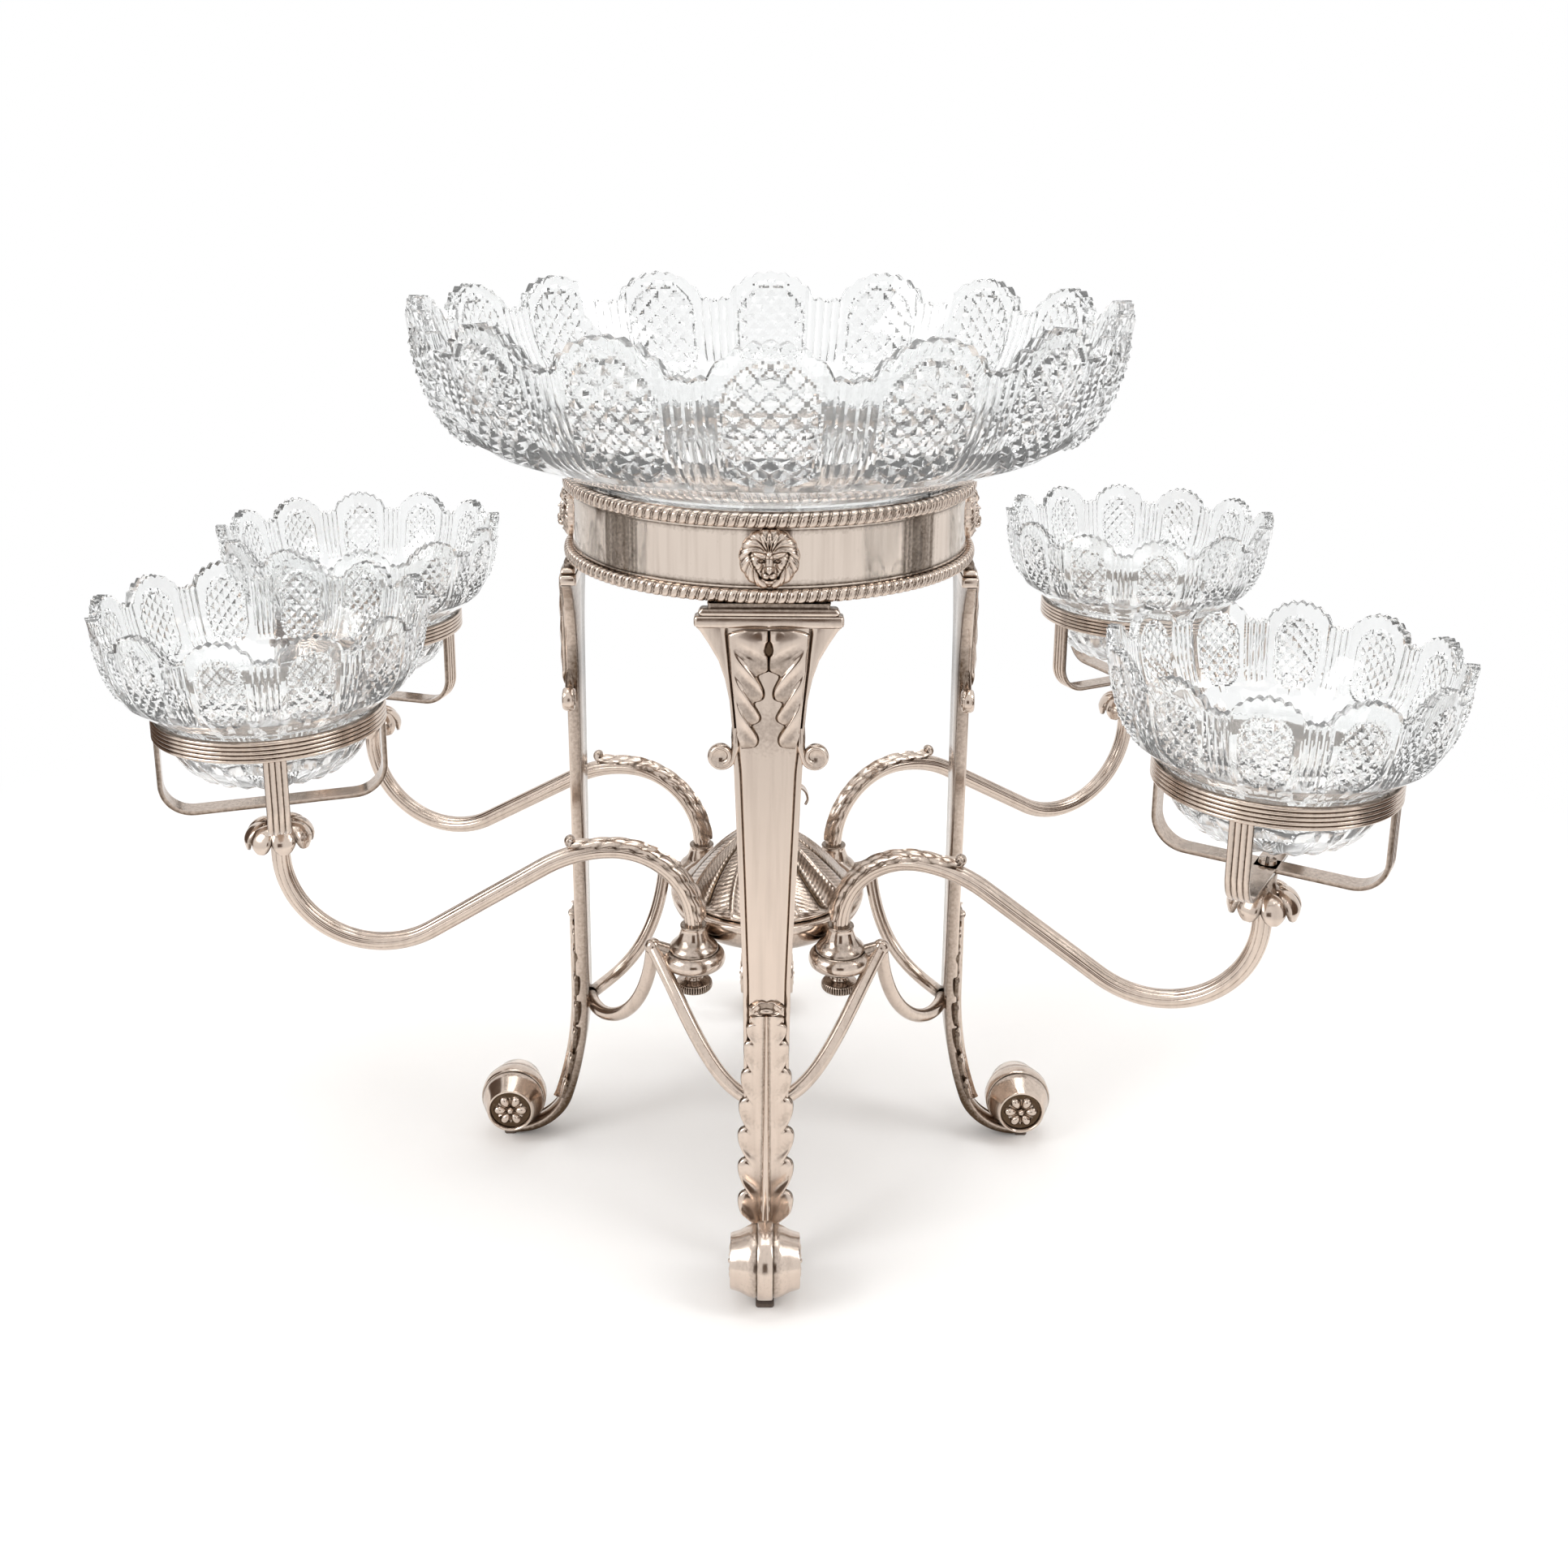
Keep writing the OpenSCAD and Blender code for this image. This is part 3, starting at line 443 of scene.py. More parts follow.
def pressed_felt():
    """Dark wool that swallows light, with a little sheen at its edges."""
    material, tree = fresh("pressed_wool_felt")
    place = add(tree, "ShaderNodeTexCoord")
    # Wool fibres are hundredths of a millimetre thick; these tufts are as coarse as they need to show.
    fibre_mm = 0.5
    fibres = add(tree, "ShaderNodeTexNoise", values={"Scale": 1000 / fibre_mm, "Detail": 4.0},
                 links={"Vector": place.outputs["Object"]})
    colour = add(tree, "ShaderNodeMix", {"data_type": "RGBA"},
                 {6: linear("#3A302A"), 7: linear("#6A5B50")}, {0: fibres.outputs["Fac"]})
    nap = add(tree, "ShaderNodeBump", values={"Strength": 0.5, "Distance": 0.0003},
              links={"Height": fibres.outputs["Fac"]})
    wool = add(tree, "ShaderNodeBsdfPrincipled", values={"Roughness": 0.95, "Sheen Weight": 0.3},
               links={"Base Color": colour.outputs[2], "Normal": nap.outputs[0]})
    add(tree, "ShaderNodeOutputMaterial", links={"Surface": wool.outputs[0]})
    return material


felt = pressed_felt()
print("pads:", felt.name)

# %% [markdown]
# ## The cut of the bowls
# The rim is cut into petals with small teeth. Each petal carries an oval panel of cut diamonds with
# a thin groove round it, and upright flutes fill the space between two panels. A bump map could show
# them, but would not bend the light. So the rows and columns of the net are lined up with the
# diamonds, and each diamond is an exact pyramid of four flat facets.

# %% Rim, diamonds and flutes


def unit(value):
    """The value, kept between 0 and 1."""
    return np.clip(value, 0, 1)


def hump(square):
    """A round swelling over the square of a distance: 1 in its middle, 0 from a distance of 1 on."""
    return np.sqrt(unit(1 - square))


def rim_heights(place, half_columns, half, tip, rim_cut):
    """The rim over each column: an arch over each petal, a flat between two, and small teeth."""
    chord = half - rim_cut["flat"] / 2
    arch_r = (chord**2 + rim_cut["drop"] ** 2) / (2 * rim_cut["drop"])
    aside = np.minimum(np.abs(place / half_columns * half), chord)
    arch = tip - arch_r + np.sqrt(arch_r**2 - aside**2)
    half_tooth = rim_cut["tooth"] / 2
    nick = np.abs(place % rim_cut["tooth"] - half_tooth) / half_tooth
    return arch - rim_cut["deep"] * (1 - nick) ** 1.4


def cut_depth(step, place, half_columns, panel, flutes):
    """How deep the wheel went at each row and column, in millimetres."""
    across = place / half_columns
    side = place / panel["half"]
    climb = (step - panel["middle"]) / panel["half"]
    a = (side + climb) / 2
    b = (side - climb) / 2
    pyramid = 2 * np.minimum(np.abs(a - np.round(a)), np.abs(b - np.round(b)))
    tall = panel["rows"] / 2
    upright = np.abs((step - panel["middle"]) / tall) ** 2.5
    oval = (np.abs(across / panel["across"]) ** 2.5 + upright) ** 0.4
    depth = np.where(oval < 1, panel["deep"] * (1 - pyramid) - panel["swell"] * hump(oval**6), 0.0)
    groove_rows = 1.6
    groove = (oval >= 1) & (oval < 1 + groove_rows / tall)
    depth = np.where(groove, 0.45 * panel["deep"], depth)
    from_edge = (1 - np.abs(across)) * half_columns
    flute_at = from_edge / flutes["columns"] + flutes["count"] % 2 / 2
    hollow = 4 * (flute_at % 1) * (1 - flute_at % 1)
    fluted = from_edge <= flutes["count"] * flutes["columns"] / 2
    run_out_rows = 14
    run_out = unit(step / run_out_rows) ** 0.7
    return np.where(fluted, (flutes["sunk"] + flutes["deep"] * hollow) * run_out, depth)


sample_cut = {"drop": 11.0, "flat": 11.0, "tooth": 6, "deep": 1.5}
print("rim over half a tooth:", rim_heights(np.arange(4), 28, 24.0, 0.0, sample_cut).round(2))

# %% [markdown]
# ## From the cut to a bowl
# A bowl is blown thick, opened, and cut only on the outside. It is one closed net here: up from the
# middle of the foot, over the petals, and down the inside. It could be a sheet with a thickness
# added, but the inside of a cut bowl is smooth and doesn't follow the outside.

# %% Bowl maker
foot_rows = 22
cavity_rows = 14


def cut_bowl(petals, columns, under, petal, inside, rim_cut, panel, flutes, rays=0):
    """A bowl from three lines of radius and height: from the middle of the foot to the petals, up the
    outside of a petal, and from the rim down the inside. rays is the star in the foot."""
    place = (np.arange(petals * columns) + columns // 2) % columns - columns // 2
    angle = circle(petals * columns)
    line = evenly(smooth(petal, 200), 400)
    length = distances(line)
    half = line[-1, 0] * math.tan(math.pi / petals)
    rim = rim_heights(place, columns / 2, half, line[-1, 1], rim_cut)
    step = np.arange(panel["total"] + 1)[:, None]
    up = step * (length[-1] / panel["total"])
    edge = np.interp(rim, line[:, 1], length)
    # The last rows below the rim are squeezed together, so that the rows of the panel stay level.
    squeeze_mm = 2.5
    kept = edge - squeeze_mm
    squeezed = kept + (up - kept) * squeeze_mm / (length[-1] - kept)
    high = np.where(up <= kept, up, squeezed)
    fade_mm = 1.5
    depth = cut_depth(step, place, columns / 2, panel, flutes) * unit((edge - high) / fade_mm)
    slope = ahead_of(line)
    radius = np.interp(high, length, line[:, 0]) - depth * np.interp(high, length, slope[:, 1])
    height = np.interp(high, length, line[:, 1]) + depth * np.interp(high, length, slope[:, 0])
    foot = evenly(smooth(under, 160), foot_rows)[:, :, None]
    ray = rays * angle / (2 * np.pi) % 1
    ray_depth = np.sin(np.pi * np.linspace(0, 1, foot_rows) ** 0.7)[:, None]
    fan = np.where(rays, np.abs(2 * ray - 1), 0) * ray_depth
    base = turned(foot[:, 0] - 0.3 * fan, foot[:, 1] + 0.8 * fan, angle)
    hollow = evenly(smooth(inside, 200), 300)[::-1]
    hollow_z = rim + (hollow[0, 1] - rim) * np.linspace(0, 1, cavity_rows)[:, None]
    cavity = turned(np.interp(hollow_z, hollow[:, 1], hollow[:, 0]), hollow_z, angle)
    return tube(np.concatenate([base, turned(radius, height, angle), cavity]))


print("rows in a foot:", foot_rows, "rows inside:", cavity_rows)

# %% [markdown]
# ### The large bowl
# The large bowl has sixteen petals and a deep foot that stands inside the ring. Its lines could be
# read from the CAD solid, but its box says enough: they are given as distances from its outer radius,
# its tip, its foot and the top of the ring, as they were measured in the photograph.

# %% Large bowl
bowl_low, bowl_high = span("centre_bowl")
r = half_size("centre_bowl")[0] - 0.1
tip = bowl_high[2]
low = bowl_low[2]
lip = ring_top + border_h + 0.45
fit = band_r - 2.0
under = [(0.5, low + 0.6), (52, low + 0.4), (58, low), (60, low + 1), (fit - 3.7, low + 11),
         (fit - 0.4, lip - 3.4), (fit, lip), (fit + 3.3, lip + 1.6), (r - 40, lip + 7),
         (r - 28, lip + 11.6), (r - 25.6, lip + 12.6)]
petal = [(r - 22.4, lip + 14.8), (r - 15, lip + 19.7), (r - 8.8, lip + 29.4), (r - 4.1, tip - 18.2),
         (r, tip)]
inside = [(r - 5.5, tip), (r - 10, tip - 18), (r - 15, lip + 33), (r - 21.5, lip + 24.5),
          (r - 30, lip + 19.2), (r - 42, lip + 14.2), (fit + 2.3, lip + 8.4), (fit - 3.7, lip + 4),
          (fit - 6.3, lip - 4.4), (58, low + 7.6), (40, low + 7), (0.5, low + 6.4)]
rim_cut = {"drop": 11.0, "flat": 11.0, "tooth": 6, "deep": 1.5}
panel = {"total": 60, "rows": 51, "middle": 27, "across": 0.62, "half": 4, "deep": 1.6, "swell": 2.3}
flutes = {"columns": 4, "count": 5, "sunk": 0.5, "deep": 0.7}
part = cut_bowl(16, 56, under, petal, inside, rim_cut, panel, flutes)
large_bowl = mesh_of("large_bowl", part, crystal, crease=12)
piece("large_bowl", large_bowl, placed(), "centre_bowl", "centre_bowl")
print("large bowl:", round(2 * r), "mm across")

# %% [markdown]
# ### The small bowls
# The four small bowls are cut like the large one, with twelve petals and a star of rays in the foot.
# One mesh could serve all four, but then the waves in their glass would be the same. So each bowl has
# its own mesh, turned as its arm is.

# %% Small bowls
bowl_low, bowl_high = span("bowl_fl")
low = bowl_low[2]
tip = bowl_high[2]
r = half_size("bowl_fl")[1] - 0.1
holder_top = span("holder_fl")[1][2]
holder_r = 37.6
lip = holder_top
under = [(0.5, low + 0.2), (12, low), (19, low + 0.1), (26, low + 2), (32.4, low + 9), (36.3, low + 18),
         (holder_r - 0.4, lip), (holder_r + 3.4, lip + 2.7), (r - 11, lip + 6.8)]
petal = [(r - 9, lip + 8.3), (r - 5.2, lip + 15), (r - 2.6, lip + 23.5), (r, tip)]
inside = [(r - 3.8, tip), (r - 6.6, lip + 24), (r - 9.8, lip + 16), (r - 14, lip + 10.4),
          (r - 19.5, lip + 6), (33.4, lip), (30, low + 13), (24, low + 7), (18, low + 5.4), (0.5, low + 5)]
rim_cut = {"drop": 7.0, "flat": 6.5, "tooth": 6, "deep": 1.1}
panel = {"total": 56, "rows": 43, "middle": 23, "across": 0.53, "half": 4, "deep": 1.1, "swell": 0.9}
flutes = {"columns": 4, "count": 4, "sunk": 0.25, "deep": 0.7}
part = cut_bowl(12, 56, under, petal, inside, rim_cut, panel, flutes, rays=24)
bowl_out = Matrix.Translation((arm_l * MM, 0, 0))
for corner in CORNERS:
    place = arm_place[corner] @ bowl_out
    turn = Matrix.Rotation(place.to_euler().z, 4, "Z")
    small_bowl = mesh_of("small_bowl_" + corner, moved(part, turn), crystal, crease=12)
    spot = Matrix.Translation(place.translation)
    piece("bowl_cut_" + corner, small_bowl, spot, "bowl_" + corner, "bowl_" + corner)
print("small bowls:", round(2 * r), "mm across")

# %% [markdown]
# ## The ring
# The band is a plain hoop with a thin bead next to each border. It was rolled from sheet and soldered
# to a ring. A cylinder with a bevel would do for the sheet, but a turned profile also has the beads.
# Midway between two masks brown bands are painted in, in streaks: a painted dark reflection, as a polished
# hoop shows of dark things beside it.

# %% Band
band_t = 1.5
bead = 0.55
low = ring_low - border_h
top = ring_top + border_h + 0.2
bead_low = ring_low + border_h + 0.5
bead_top = ring_top - border_h - 0.5
# Each point of the profile is how far it stands out, its height and its tarnish.
line = np.array([
    (0, low, 0.5), (0, bead_low - 0.4, 0.8), (bead, bead_low - 0.2, 0.2), (bead, bead_low + 0.3, 0.2),
    (0, bead_low + 0.5, 0.85), (0, bead_low + 1.3, 0.3), (0, bead_low + 3, 0.0), (0, bead_top - 3, 0.0),
    (0, bead_top - 1.3, 0.3), (0, bead_top - 0.5, 0.85), (bead, bead_top - 0.3, 0.2),
    (bead, bead_top + 0.2, 0.2), (0, bead_top + 0.4, 0.8), (0, top, 0.5), (-band_t, top, 0.4),
    (-band_t, low, 0.4), (0, low, 0.5)])
angle = circle(720)
# Painted reflection: brown upright bands, deepest midway between two masks and broken into streaks, stand
# in for the dark bands that the hoop reflects.
from_middle = np.abs(np.degrees(angle) % 90 - 45)
streaks = 0.28 * np.sin(97 * angle) + 0.22 * np.sin(233 * angle + 1) + 0.15 * np.sin(151 * angle)
painted_reflection_bands = 0.72 * unit(1.5 - (from_middle / 6.5) ** 2 + streaks) + 0.12 * unit(streaks + 0.2)
points = turned(band_r + line[:, 0], line[:, 1], angle)
part = tube(points, np.maximum(line[:, 2:], painted_reflection_bands), capped=False)
piece("ring_band_hoop", mesh_of("ring_band_hoop", part, hoop_silver), placed(), "stand", "ring_band")
print("band:", round(top - low, 1), "mm high")

# %% [markdown]
# ### Gadrooned borders
# Both borders are gadrooned: bold slanted lobes with a thin bead between each two, struck in a die.
# One lobe could be copied round the ring, but a lobe leans as it goes round the roll. So the roll is
# one net, and the phase of the pattern grows with the angle across the roll.

# %% Borders
lobes = 140
per_lobe = 12
roll_rows = 22
lean = -0.6


def gadroon(z):
    """A roll of slanted lobes and beads around the ring at a height."""
    angle = circle(lobes * per_lobe)
    roll = (np.linspace(-1.25, 1.25, roll_rows) * np.pi / 2)[:, None]
    phase = (lobes * angle / (2 * np.pi) + lean * roll / np.pi) % 1
    bold = unit(1 - (np.abs(phase - 0.36) / 0.37) ** 3) ** 0.5
    thin = 0.6 * hump((np.abs(phase - 0.87) / 0.1) ** 2)
    swell = np.maximum(bold, thin)
    bulge = np.sign(np.cos(roll)) * np.abs(np.cos(roll)) ** 0.55
    radius = ring_r - border_h + border_h * (0.66 + 0.34 * swell) * bulge
    height = z + border_h * (0.88 + 0.12 * swell) * np.sin(roll)
    return tube(turned(radius, height, angle), 0.9 - 1.1 * swell, capped=False)


for name, z in (("upper", ring_top), ("lower", ring_low)):
    border = mesh_of(name + "_gadroon", gadroon(z), silver, 60)
    piece(name + "_gadroon", border, placed(), "stand", name + "_border")
print("borders:", lobes, "lobes each")

# %% [markdown]
# ### The ledge
# The ledge that the bowl stands on is hidden inside the ring. A new mesh would not be seen, so the
# CAD solid stays and only gets its finish.

# %% Ledge
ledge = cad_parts["bowl_seat"]
ledge.data.materials.clear()
ledge.data.materials.append(silver)
print("ledge keeps its solid:", ledge.name)

# %% [markdown]
# ## Lion masks
# Four small cast lion heads are fixed over the legs. One could be sculpted, but a mask is a low
# relief, so it is drawn as a height over a round net. The features of the face are round swellings
# and hollows, listed with their places.

# %% Lion's features
# Each row is a height, a place across and up, half a width, half a height and a tilt in degrees.
single_features = [(1.0, 0, 6.3, 0.85, 3.0, 0), (1.3, 0, -0.6, 1.25, 4.4, 0), (1.1, 0, -4.0, 2.5, 2.4, 0),
                   (0.8, 0, -7.4, 1.6, 0.8, 0)]
paired_features = [(1.0, 1.5, 6.0, 0.85, 3.0, -22), (1.2, 2.7, 1.75, 2.7, 0.85, 13),
                   (-1.1, 2.45, -0.2, 1.3, 0.75, 10), (0.8, 2.4, -0.25, 0.55, 0.45, 0),
                   (1.0, 4.2, -0.9, 1.9, 2.3, -12), (1.0, 1.15, -5.1, 1.3, 1.25, 0),
                   (-0.8, 0.6, -4.0, 0.45, 0.35, 0)]


def bump(x, y, at_x, at_y, wide, tall, tilt=0.0):
    """A round swelling: 1 in its middle, 0 at its edge and outside."""
    c, s = math.cos(math.radians(tilt)), math.sin(math.radians(tilt))
    across = ((x - at_x) * c + (y - at_y) * s) / wide
    along = (-(x - at_x) * s + (y - at_y) * c) / tall
    return hump(across**2 + along**2)


def bell(distance):
    """A soft ridge: 1 in its middle, next to nothing at a distance of 2."""
    return np.exp(-(distance**2))


def features(x, y):
    """The height of forelock, brows, eyes, nose, cheeks, muzzle, mouth and chin over a plain face."""
    height = np.zeros_like(x)
    for high, *spot in single_features:
        height += high * bump(x, y, *spot)
    for sign in (-1, 1):
        for high, at_x, at_y, wide, tall, tilt in paired_features:
            height += high * bump(x, y, sign * at_x, at_y, wide, tall, sign * tilt)
        crease = np.abs(x - sign * 1.9) + 0.35 * (y + 2)
        height -= 0.5 * bell(crease / 0.3) * (y < -0.5) * (y > -4)
    mouth = y + 6.4 - 0.06 * x**2
    height -= 0.9 * bell(mouth / 0.3) * (np.abs(x) < 3.2)
    return height - 0.6 * bell(x / 0.22) * ((y < -4.3) & (y > -6.4))


print("features:", len(single_features) + 2 * len(paired_features))

# %% [markdown]
# ### The mane
# The mane flows back from the face in locks that part over the brow. A lock is a wave whose phase
# follows the angle round the head and bends near the face. The finished relief is wrapped round the
# band, and the tarnish follows its hollows.

# %% Lion mask
mask_w = 10.2
mask_h = 10.4
mask_z = (ring_top + ring_low) / 2


def lion_mask():
    out = np.linspace(0.0, 1.0, 100)[:, None]
    around = circle(240)[None, :] - np.pi
    bend = 3.2 * (1 - out) ** 1.4 * unit(np.abs(around) / 0.6)
    lock = 7.0 * (np.abs(around) / np.pi) ** 0.9 + bend
    ridge = 0.75 * np.abs(np.sin(np.pi * lock)) + 0.25 * np.abs(np.sin(2 * np.pi * lock + 0.8))
    scallop = 1 - 0.05 * (1 - ridge) * out**3
    x = mask_w * out * np.sin(around) * scallop
    y = mask_h * out * np.cos(around) * scallop
    face_w = np.interp(y, [-7.5, -5.2, -2.4, 0, 1.6, 3.5, 5], [2.0, 3.1, 4.5, 5.6, 6.0, 5.2, 3.6])
    in_face = unit((1 - np.abs(x) / face_w) / 0.14) * unit((3.4 - y) / 0.8) * unit((y + 7.2) / 0.8)
    mane = 3.5 * np.where(out < 0.62, 1, unit(1 - ((out - 0.62) / 0.42) ** 2) ** 0.6)
    mane = mane * (0.72 + 0.28 * ridge**0.7)
    face = 2.7 + 1.1 * hump((x / 6.4) ** 2 + ((y + 1) / 8.0) ** 2)
    rim = bell((np.abs(x) - face_w - 0.15) / 0.32) * (y < 2.8) * (y > -6.6)
    height = mane * (1 - in_face) + face * in_face - 0.6 * rim + features(x, y)
    height = height * unit((1.0 - out) / 0.04) ** 0.5
    bend_out = np.gradient(np.gradient(height, axis=0), axis=0)
    bend_round = np.gradient(np.gradient(height, axis=1), axis=1)
    shade = 0.12 + 4.0 * (2 * bend_out + bend_round) + 0.25 * rim + 0.6 * (out > 0.97)
    turn = -x / band_r
    radius = band_r - 0.15 + height * 1.05
    points = np.stack([radius * np.cos(turn), radius * np.sin(turn), mask_z + y], -1)
    return tube(points, unit(shade), capped=False)


lion = mesh_of("lion_mask", lion_mask(), silver, 70)
on_each_leg("lion_", lion, "lion_masks")
print("lion masks at a height of", round(mask_z, 1))

# %% [markdown]
# ## Legs
# A leg is one drawn strap. It runs straight down, sweeps outwards and ends under a scroll. It could
# be a curve with a bevel, but its width and thickness change on the way. Its path is a straight run
# and two arcs, the same as in the CAD model, and points are given by their height on that path.

# %% Strap path
strap_t = 5.6
toe_t = 2.2
slim = 1.2
leg_r = span("leg_right")[0][0] - axis[0] + strap_t / 2
cap_z = span("leg_right")[1][2]
foot_r = middle("foot_right")[0] - axis[0]
pad_h = span("foot_pads")[1][2]
sweep_r = 150.0
sweep_turn = math.radians(18)
toe_z = pad_h + toe_t / 2
heel_r = (foot_r - leg_r - sweep_r * (1 - math.cos(sweep_turn))) / math.cos(sweep_turn)
sweep_z = toe_z + sweep_r * math.sin(sweep_turn) + heel_r * (1 - math.sin(sweep_turn))


def strap_at(z):
    """The strap's middle line at a height: its radius, and its lean from 0, upright, in radians."""
    bend_z = sweep_z - sweep_r * math.sin(sweep_turn)
    upper = np.arcsin(np.clip((sweep_z - z) / sweep_r, 0, math.sin(sweep_turn)))
    lower = np.arcsin(np.clip(1 - (z - toe_z) / heel_r, math.sin(sweep_turn), 1))
    upper_r = leg_r + sweep_r * (1 - np.cos(upper))
    lower_r = foot_r - heel_r * np.cos(lower)
    return np.where(z >= bend_z, upper_r, lower_r), np.where(z >= bend_z, upper, lower)


def thickness(lean):
    """How thick the strap is, and how much slimmer than its solid it is drawn."""
    flat = lean / (math.pi / 2)
    return strap_t + (toe_t - strap_t) * flat, slim * (1 - flat)


def on_strap(x, z, proud):
    """Points across the strap at a height, standing proud of its front by some millimetres."""
    radius, lean = strap_at(z)
    thick, slimmer = thickness(lean)
    out = thick / 2 - slimmer + proud
    return np.stack(np.broadcast_arrays(radius + out * np.cos(lean), x, z + out * np.sin(lean)), -1)


print("strap from", round(toe_z, 1), "to", round(cap_z, 1), "sweeping below", round(sweep_z, 1))

# %% [markdown]
# ### The strap's section
# Across its front the strap has a half-round panel between two grooves, and two narrow edges. It was
# drawn through a die. A modifier could sweep a section, but the grooves and the edges part under the
# capital, so each has its own line of half widths, measured in the photograph.

# %% Straps
# Each point is a height and half a width.
strap_edge = np.array([
    (10, 4.6), (18, 5.2), (45, 7.8), (77, 7.95), (107, 8.25), (145, 9.8), (185, 11.4), (200, 12.0),
    (210, 12.9), (217.4, 14.4), (223.8, 16.5), (229.7, 19.8), (234.1, 22.6), (235.2, 23.8)])
groove_line = np.array([
    (10, 3.6), (45, 6.2), (77, 6.35), (107, 6.6), (145, 7.8), (185, 9.3), (196, 10.5), (206.5, 11.4),
    (221, 12.8), (233, 13.7), (235.2, 13.9)])
flare_z = 200


def groove_x(z):
    """How far a groove runs from the middle of the strap at a height."""
    return np.interp(z, groove_line[:, 0], groove_line[:, 1])


def leg_strap():
    turns = np.linspace(math.pi / 2, 0, 26)
    heel = toe_z + heel_r * (1 - np.sin(turns[turns > sweep_turn]))
    sweep = sweep_z - sweep_r * np.sin(np.linspace(sweep_turn, 0, 16))
    straight = np.linspace(sweep_z, flare_z, 60)
    flare = np.linspace(flare_z, cap_z, 60)
    z = np.unique(np.round(np.concatenate([heel, sweep, straight, flare]), 4))[:, None]
    # Across the strap, 1 is the groove and 2 the edge.
    half_q = np.array([0, 0.2, 0.4, 0.6, 0.75, 0.86, 0.92, 0.95, 0.975, 1.0, 1.03, 1.07, 1.14, 1.25, 1.5,
                       1.75, 1.9, 1.97, 2.0])
    q = np.concatenate([-half_q[:0:-1], half_q])
    size = np.abs(q)
    cut = bell((size - 1.0) / 0.05)
    rail = 0.45 * unit(1 - ((size - 1.55) / 0.5) ** 2)
    proud = np.where(size <= 1, 0.9 * (1 - size**2), rail) - 0.6 * cut - 0.4 * (size > 1.95)
    half = np.interp(z, strap_edge[:, 0], strap_edge[:, 1])
    groove = groove_x(z)
    x = np.sign(q) * np.where(size <= 1, size * groove, groove + (size - 1) * (half - groove))
    front = on_strap(x, z, proud - 0.3)
    thick, slimmer = thickness(strap_at(z)[1])
    back_x = half * np.array([1, 0.9, 0, -0.9, -1])
    back = on_strap(back_x, z, np.array([0.6, 0.0, 0.0, 0.0, 0.6]) - thick + slimmer)
    shade = np.concatenate([0.7 * cut + 0.25 * (size > 1.98), [0.6, 0.6, 0.4, 0.6, 0.6]])
    # The strap is darker towards its foot.
    low_darkening = np.clip((40 - z) / 60, 0, 0.4)
    # Painted shade: the panel is darkened just below the leaf, where the leaf would shade it.
    painted_shade_under_leaf = 0.3 * bell((z - flare_z) / 9)
    return tube(np.concatenate([front, back], axis=1), unit(shade + low_darkening + painted_shade_under_leaf))


on_each_leg("strap_", mesh_of("leg_strap", leg_strap(), silver, 50), "leg_")
print("strap:", round(2 * groove_x(145), 1), "mm between the grooves, halfway up")

# %% [markdown]
# ### Capitals
# Each leg ends in a small square capital under the ring: a neck, a round moulding and a flat edge
# with soft corners. It could be a box with bevels, but a moulding has many steps. The outline of one
# level is a rounded rectangle, and the levels follow the moulding.

# %% Capitals
capital_w = 24.6
capital_d = strap_t / 2 + 0.3
# Each step is its height over the strap, how far it stands out and its tarnish.
capital_steps = [(0.0, -1.2, 0.4), (0.5, -0.2, 0.2), (1.3, 0.0, 0.0), (2.9, 0.0, 0.0), (3.5, -0.25, 0.1),
                 (3.8, -0.8, 0.4), (3.85, -2.2, 0.7), (4.2, -1.7, 0.2), (4.9, -1.3, 0.0), (5.6, -1.7, 0.1),
                 (6.2, -2.3, 0.6), (6.3, -4.4, 0.8), (7.0, -4.6, 0.5), (8.0, -4.4, 0.7)]


def rounded(half_x, half_y, corner, count=12):
    """A rounded rectangle as points, anticlockwise."""
    quarter = np.linspace(0, math.pi / 2, count)
    points = []
    for k, (side_x, side_y) in enumerate(((1, 1), (-1, 1), (-1, -1), (1, -1))):
        x = side_x * (half_x - corner) + corner * np.cos(quarter + k * math.pi / 2)
        y = side_y * (half_y - corner) + corner * np.sin(quarter + k * math.pi / 2)
        points.append(np.stack([x, y], 1))
    return np.vstack(points)


rows = []
for up, out, darkening in capital_steps:
    ring = rounded(capital_d + out * 0.3, capital_w + out, 1.1)
    rows.append(np.column_stack([leg_r - slim + ring[:, 0], ring[:, 1], np.full(len(ring), cap_z + up)]))
stains = np.array([[step[2]] for step in capital_steps])
on_each_leg("capital_", mesh_of("capital", tube(np.array(rows), stains), silver, 45), "leg_capitals")
print("capital:", 2 * capital_w, "mm wide")

# %% [markdown]
# ### Acanthus under the capital
# Two leaf halves hang from the capital, one on each side. Their outer edges follow the strap, and
# their inner edges are cut into four round lobes and leave the strap bare between them. They were
# cast and chased. Each is a thin sheet here, with hollow flutes that run down to the lobes: a flute
# starts high on the outer edge and ends in a lobe of the inner one.

# %% Leaf halves
leaf_top_z = cap_z - 0.4
# Each point is a height and a distance from the middle of the strap.
inner_edge = np.array([
    (234.6, 0.2), (231.2, 0.2), (230.2, 0.7), (228, 1.1), (226.4, 0.8), (225.2, 0.2), (221, 0.2),
    (219.8, 2.2), (219.1, 3.5), (218.2, 3.6), (216.7, 2.9), (214.4, 1.9), (212.6, 1.65), (211.1, 2.0),
    (210.2, 3.2), (209.7, 4.6), (208.7, 4.8), (207, 3.8), (204.8, 2.8), (203.3, 3.1), (202.4, 4.2),
    (201.6, 5.6), (200.7, 5.5), (199, 4.2), (196.9, 3.5), (195, 3.9), (193.9, 5.3), (193.4, 8.8)])
notches = [193.3, 200.9, 209.0, 218.5, 235.0]
flute_tops = [199.0, 210.8, 220.2, 229.0, 235.0]


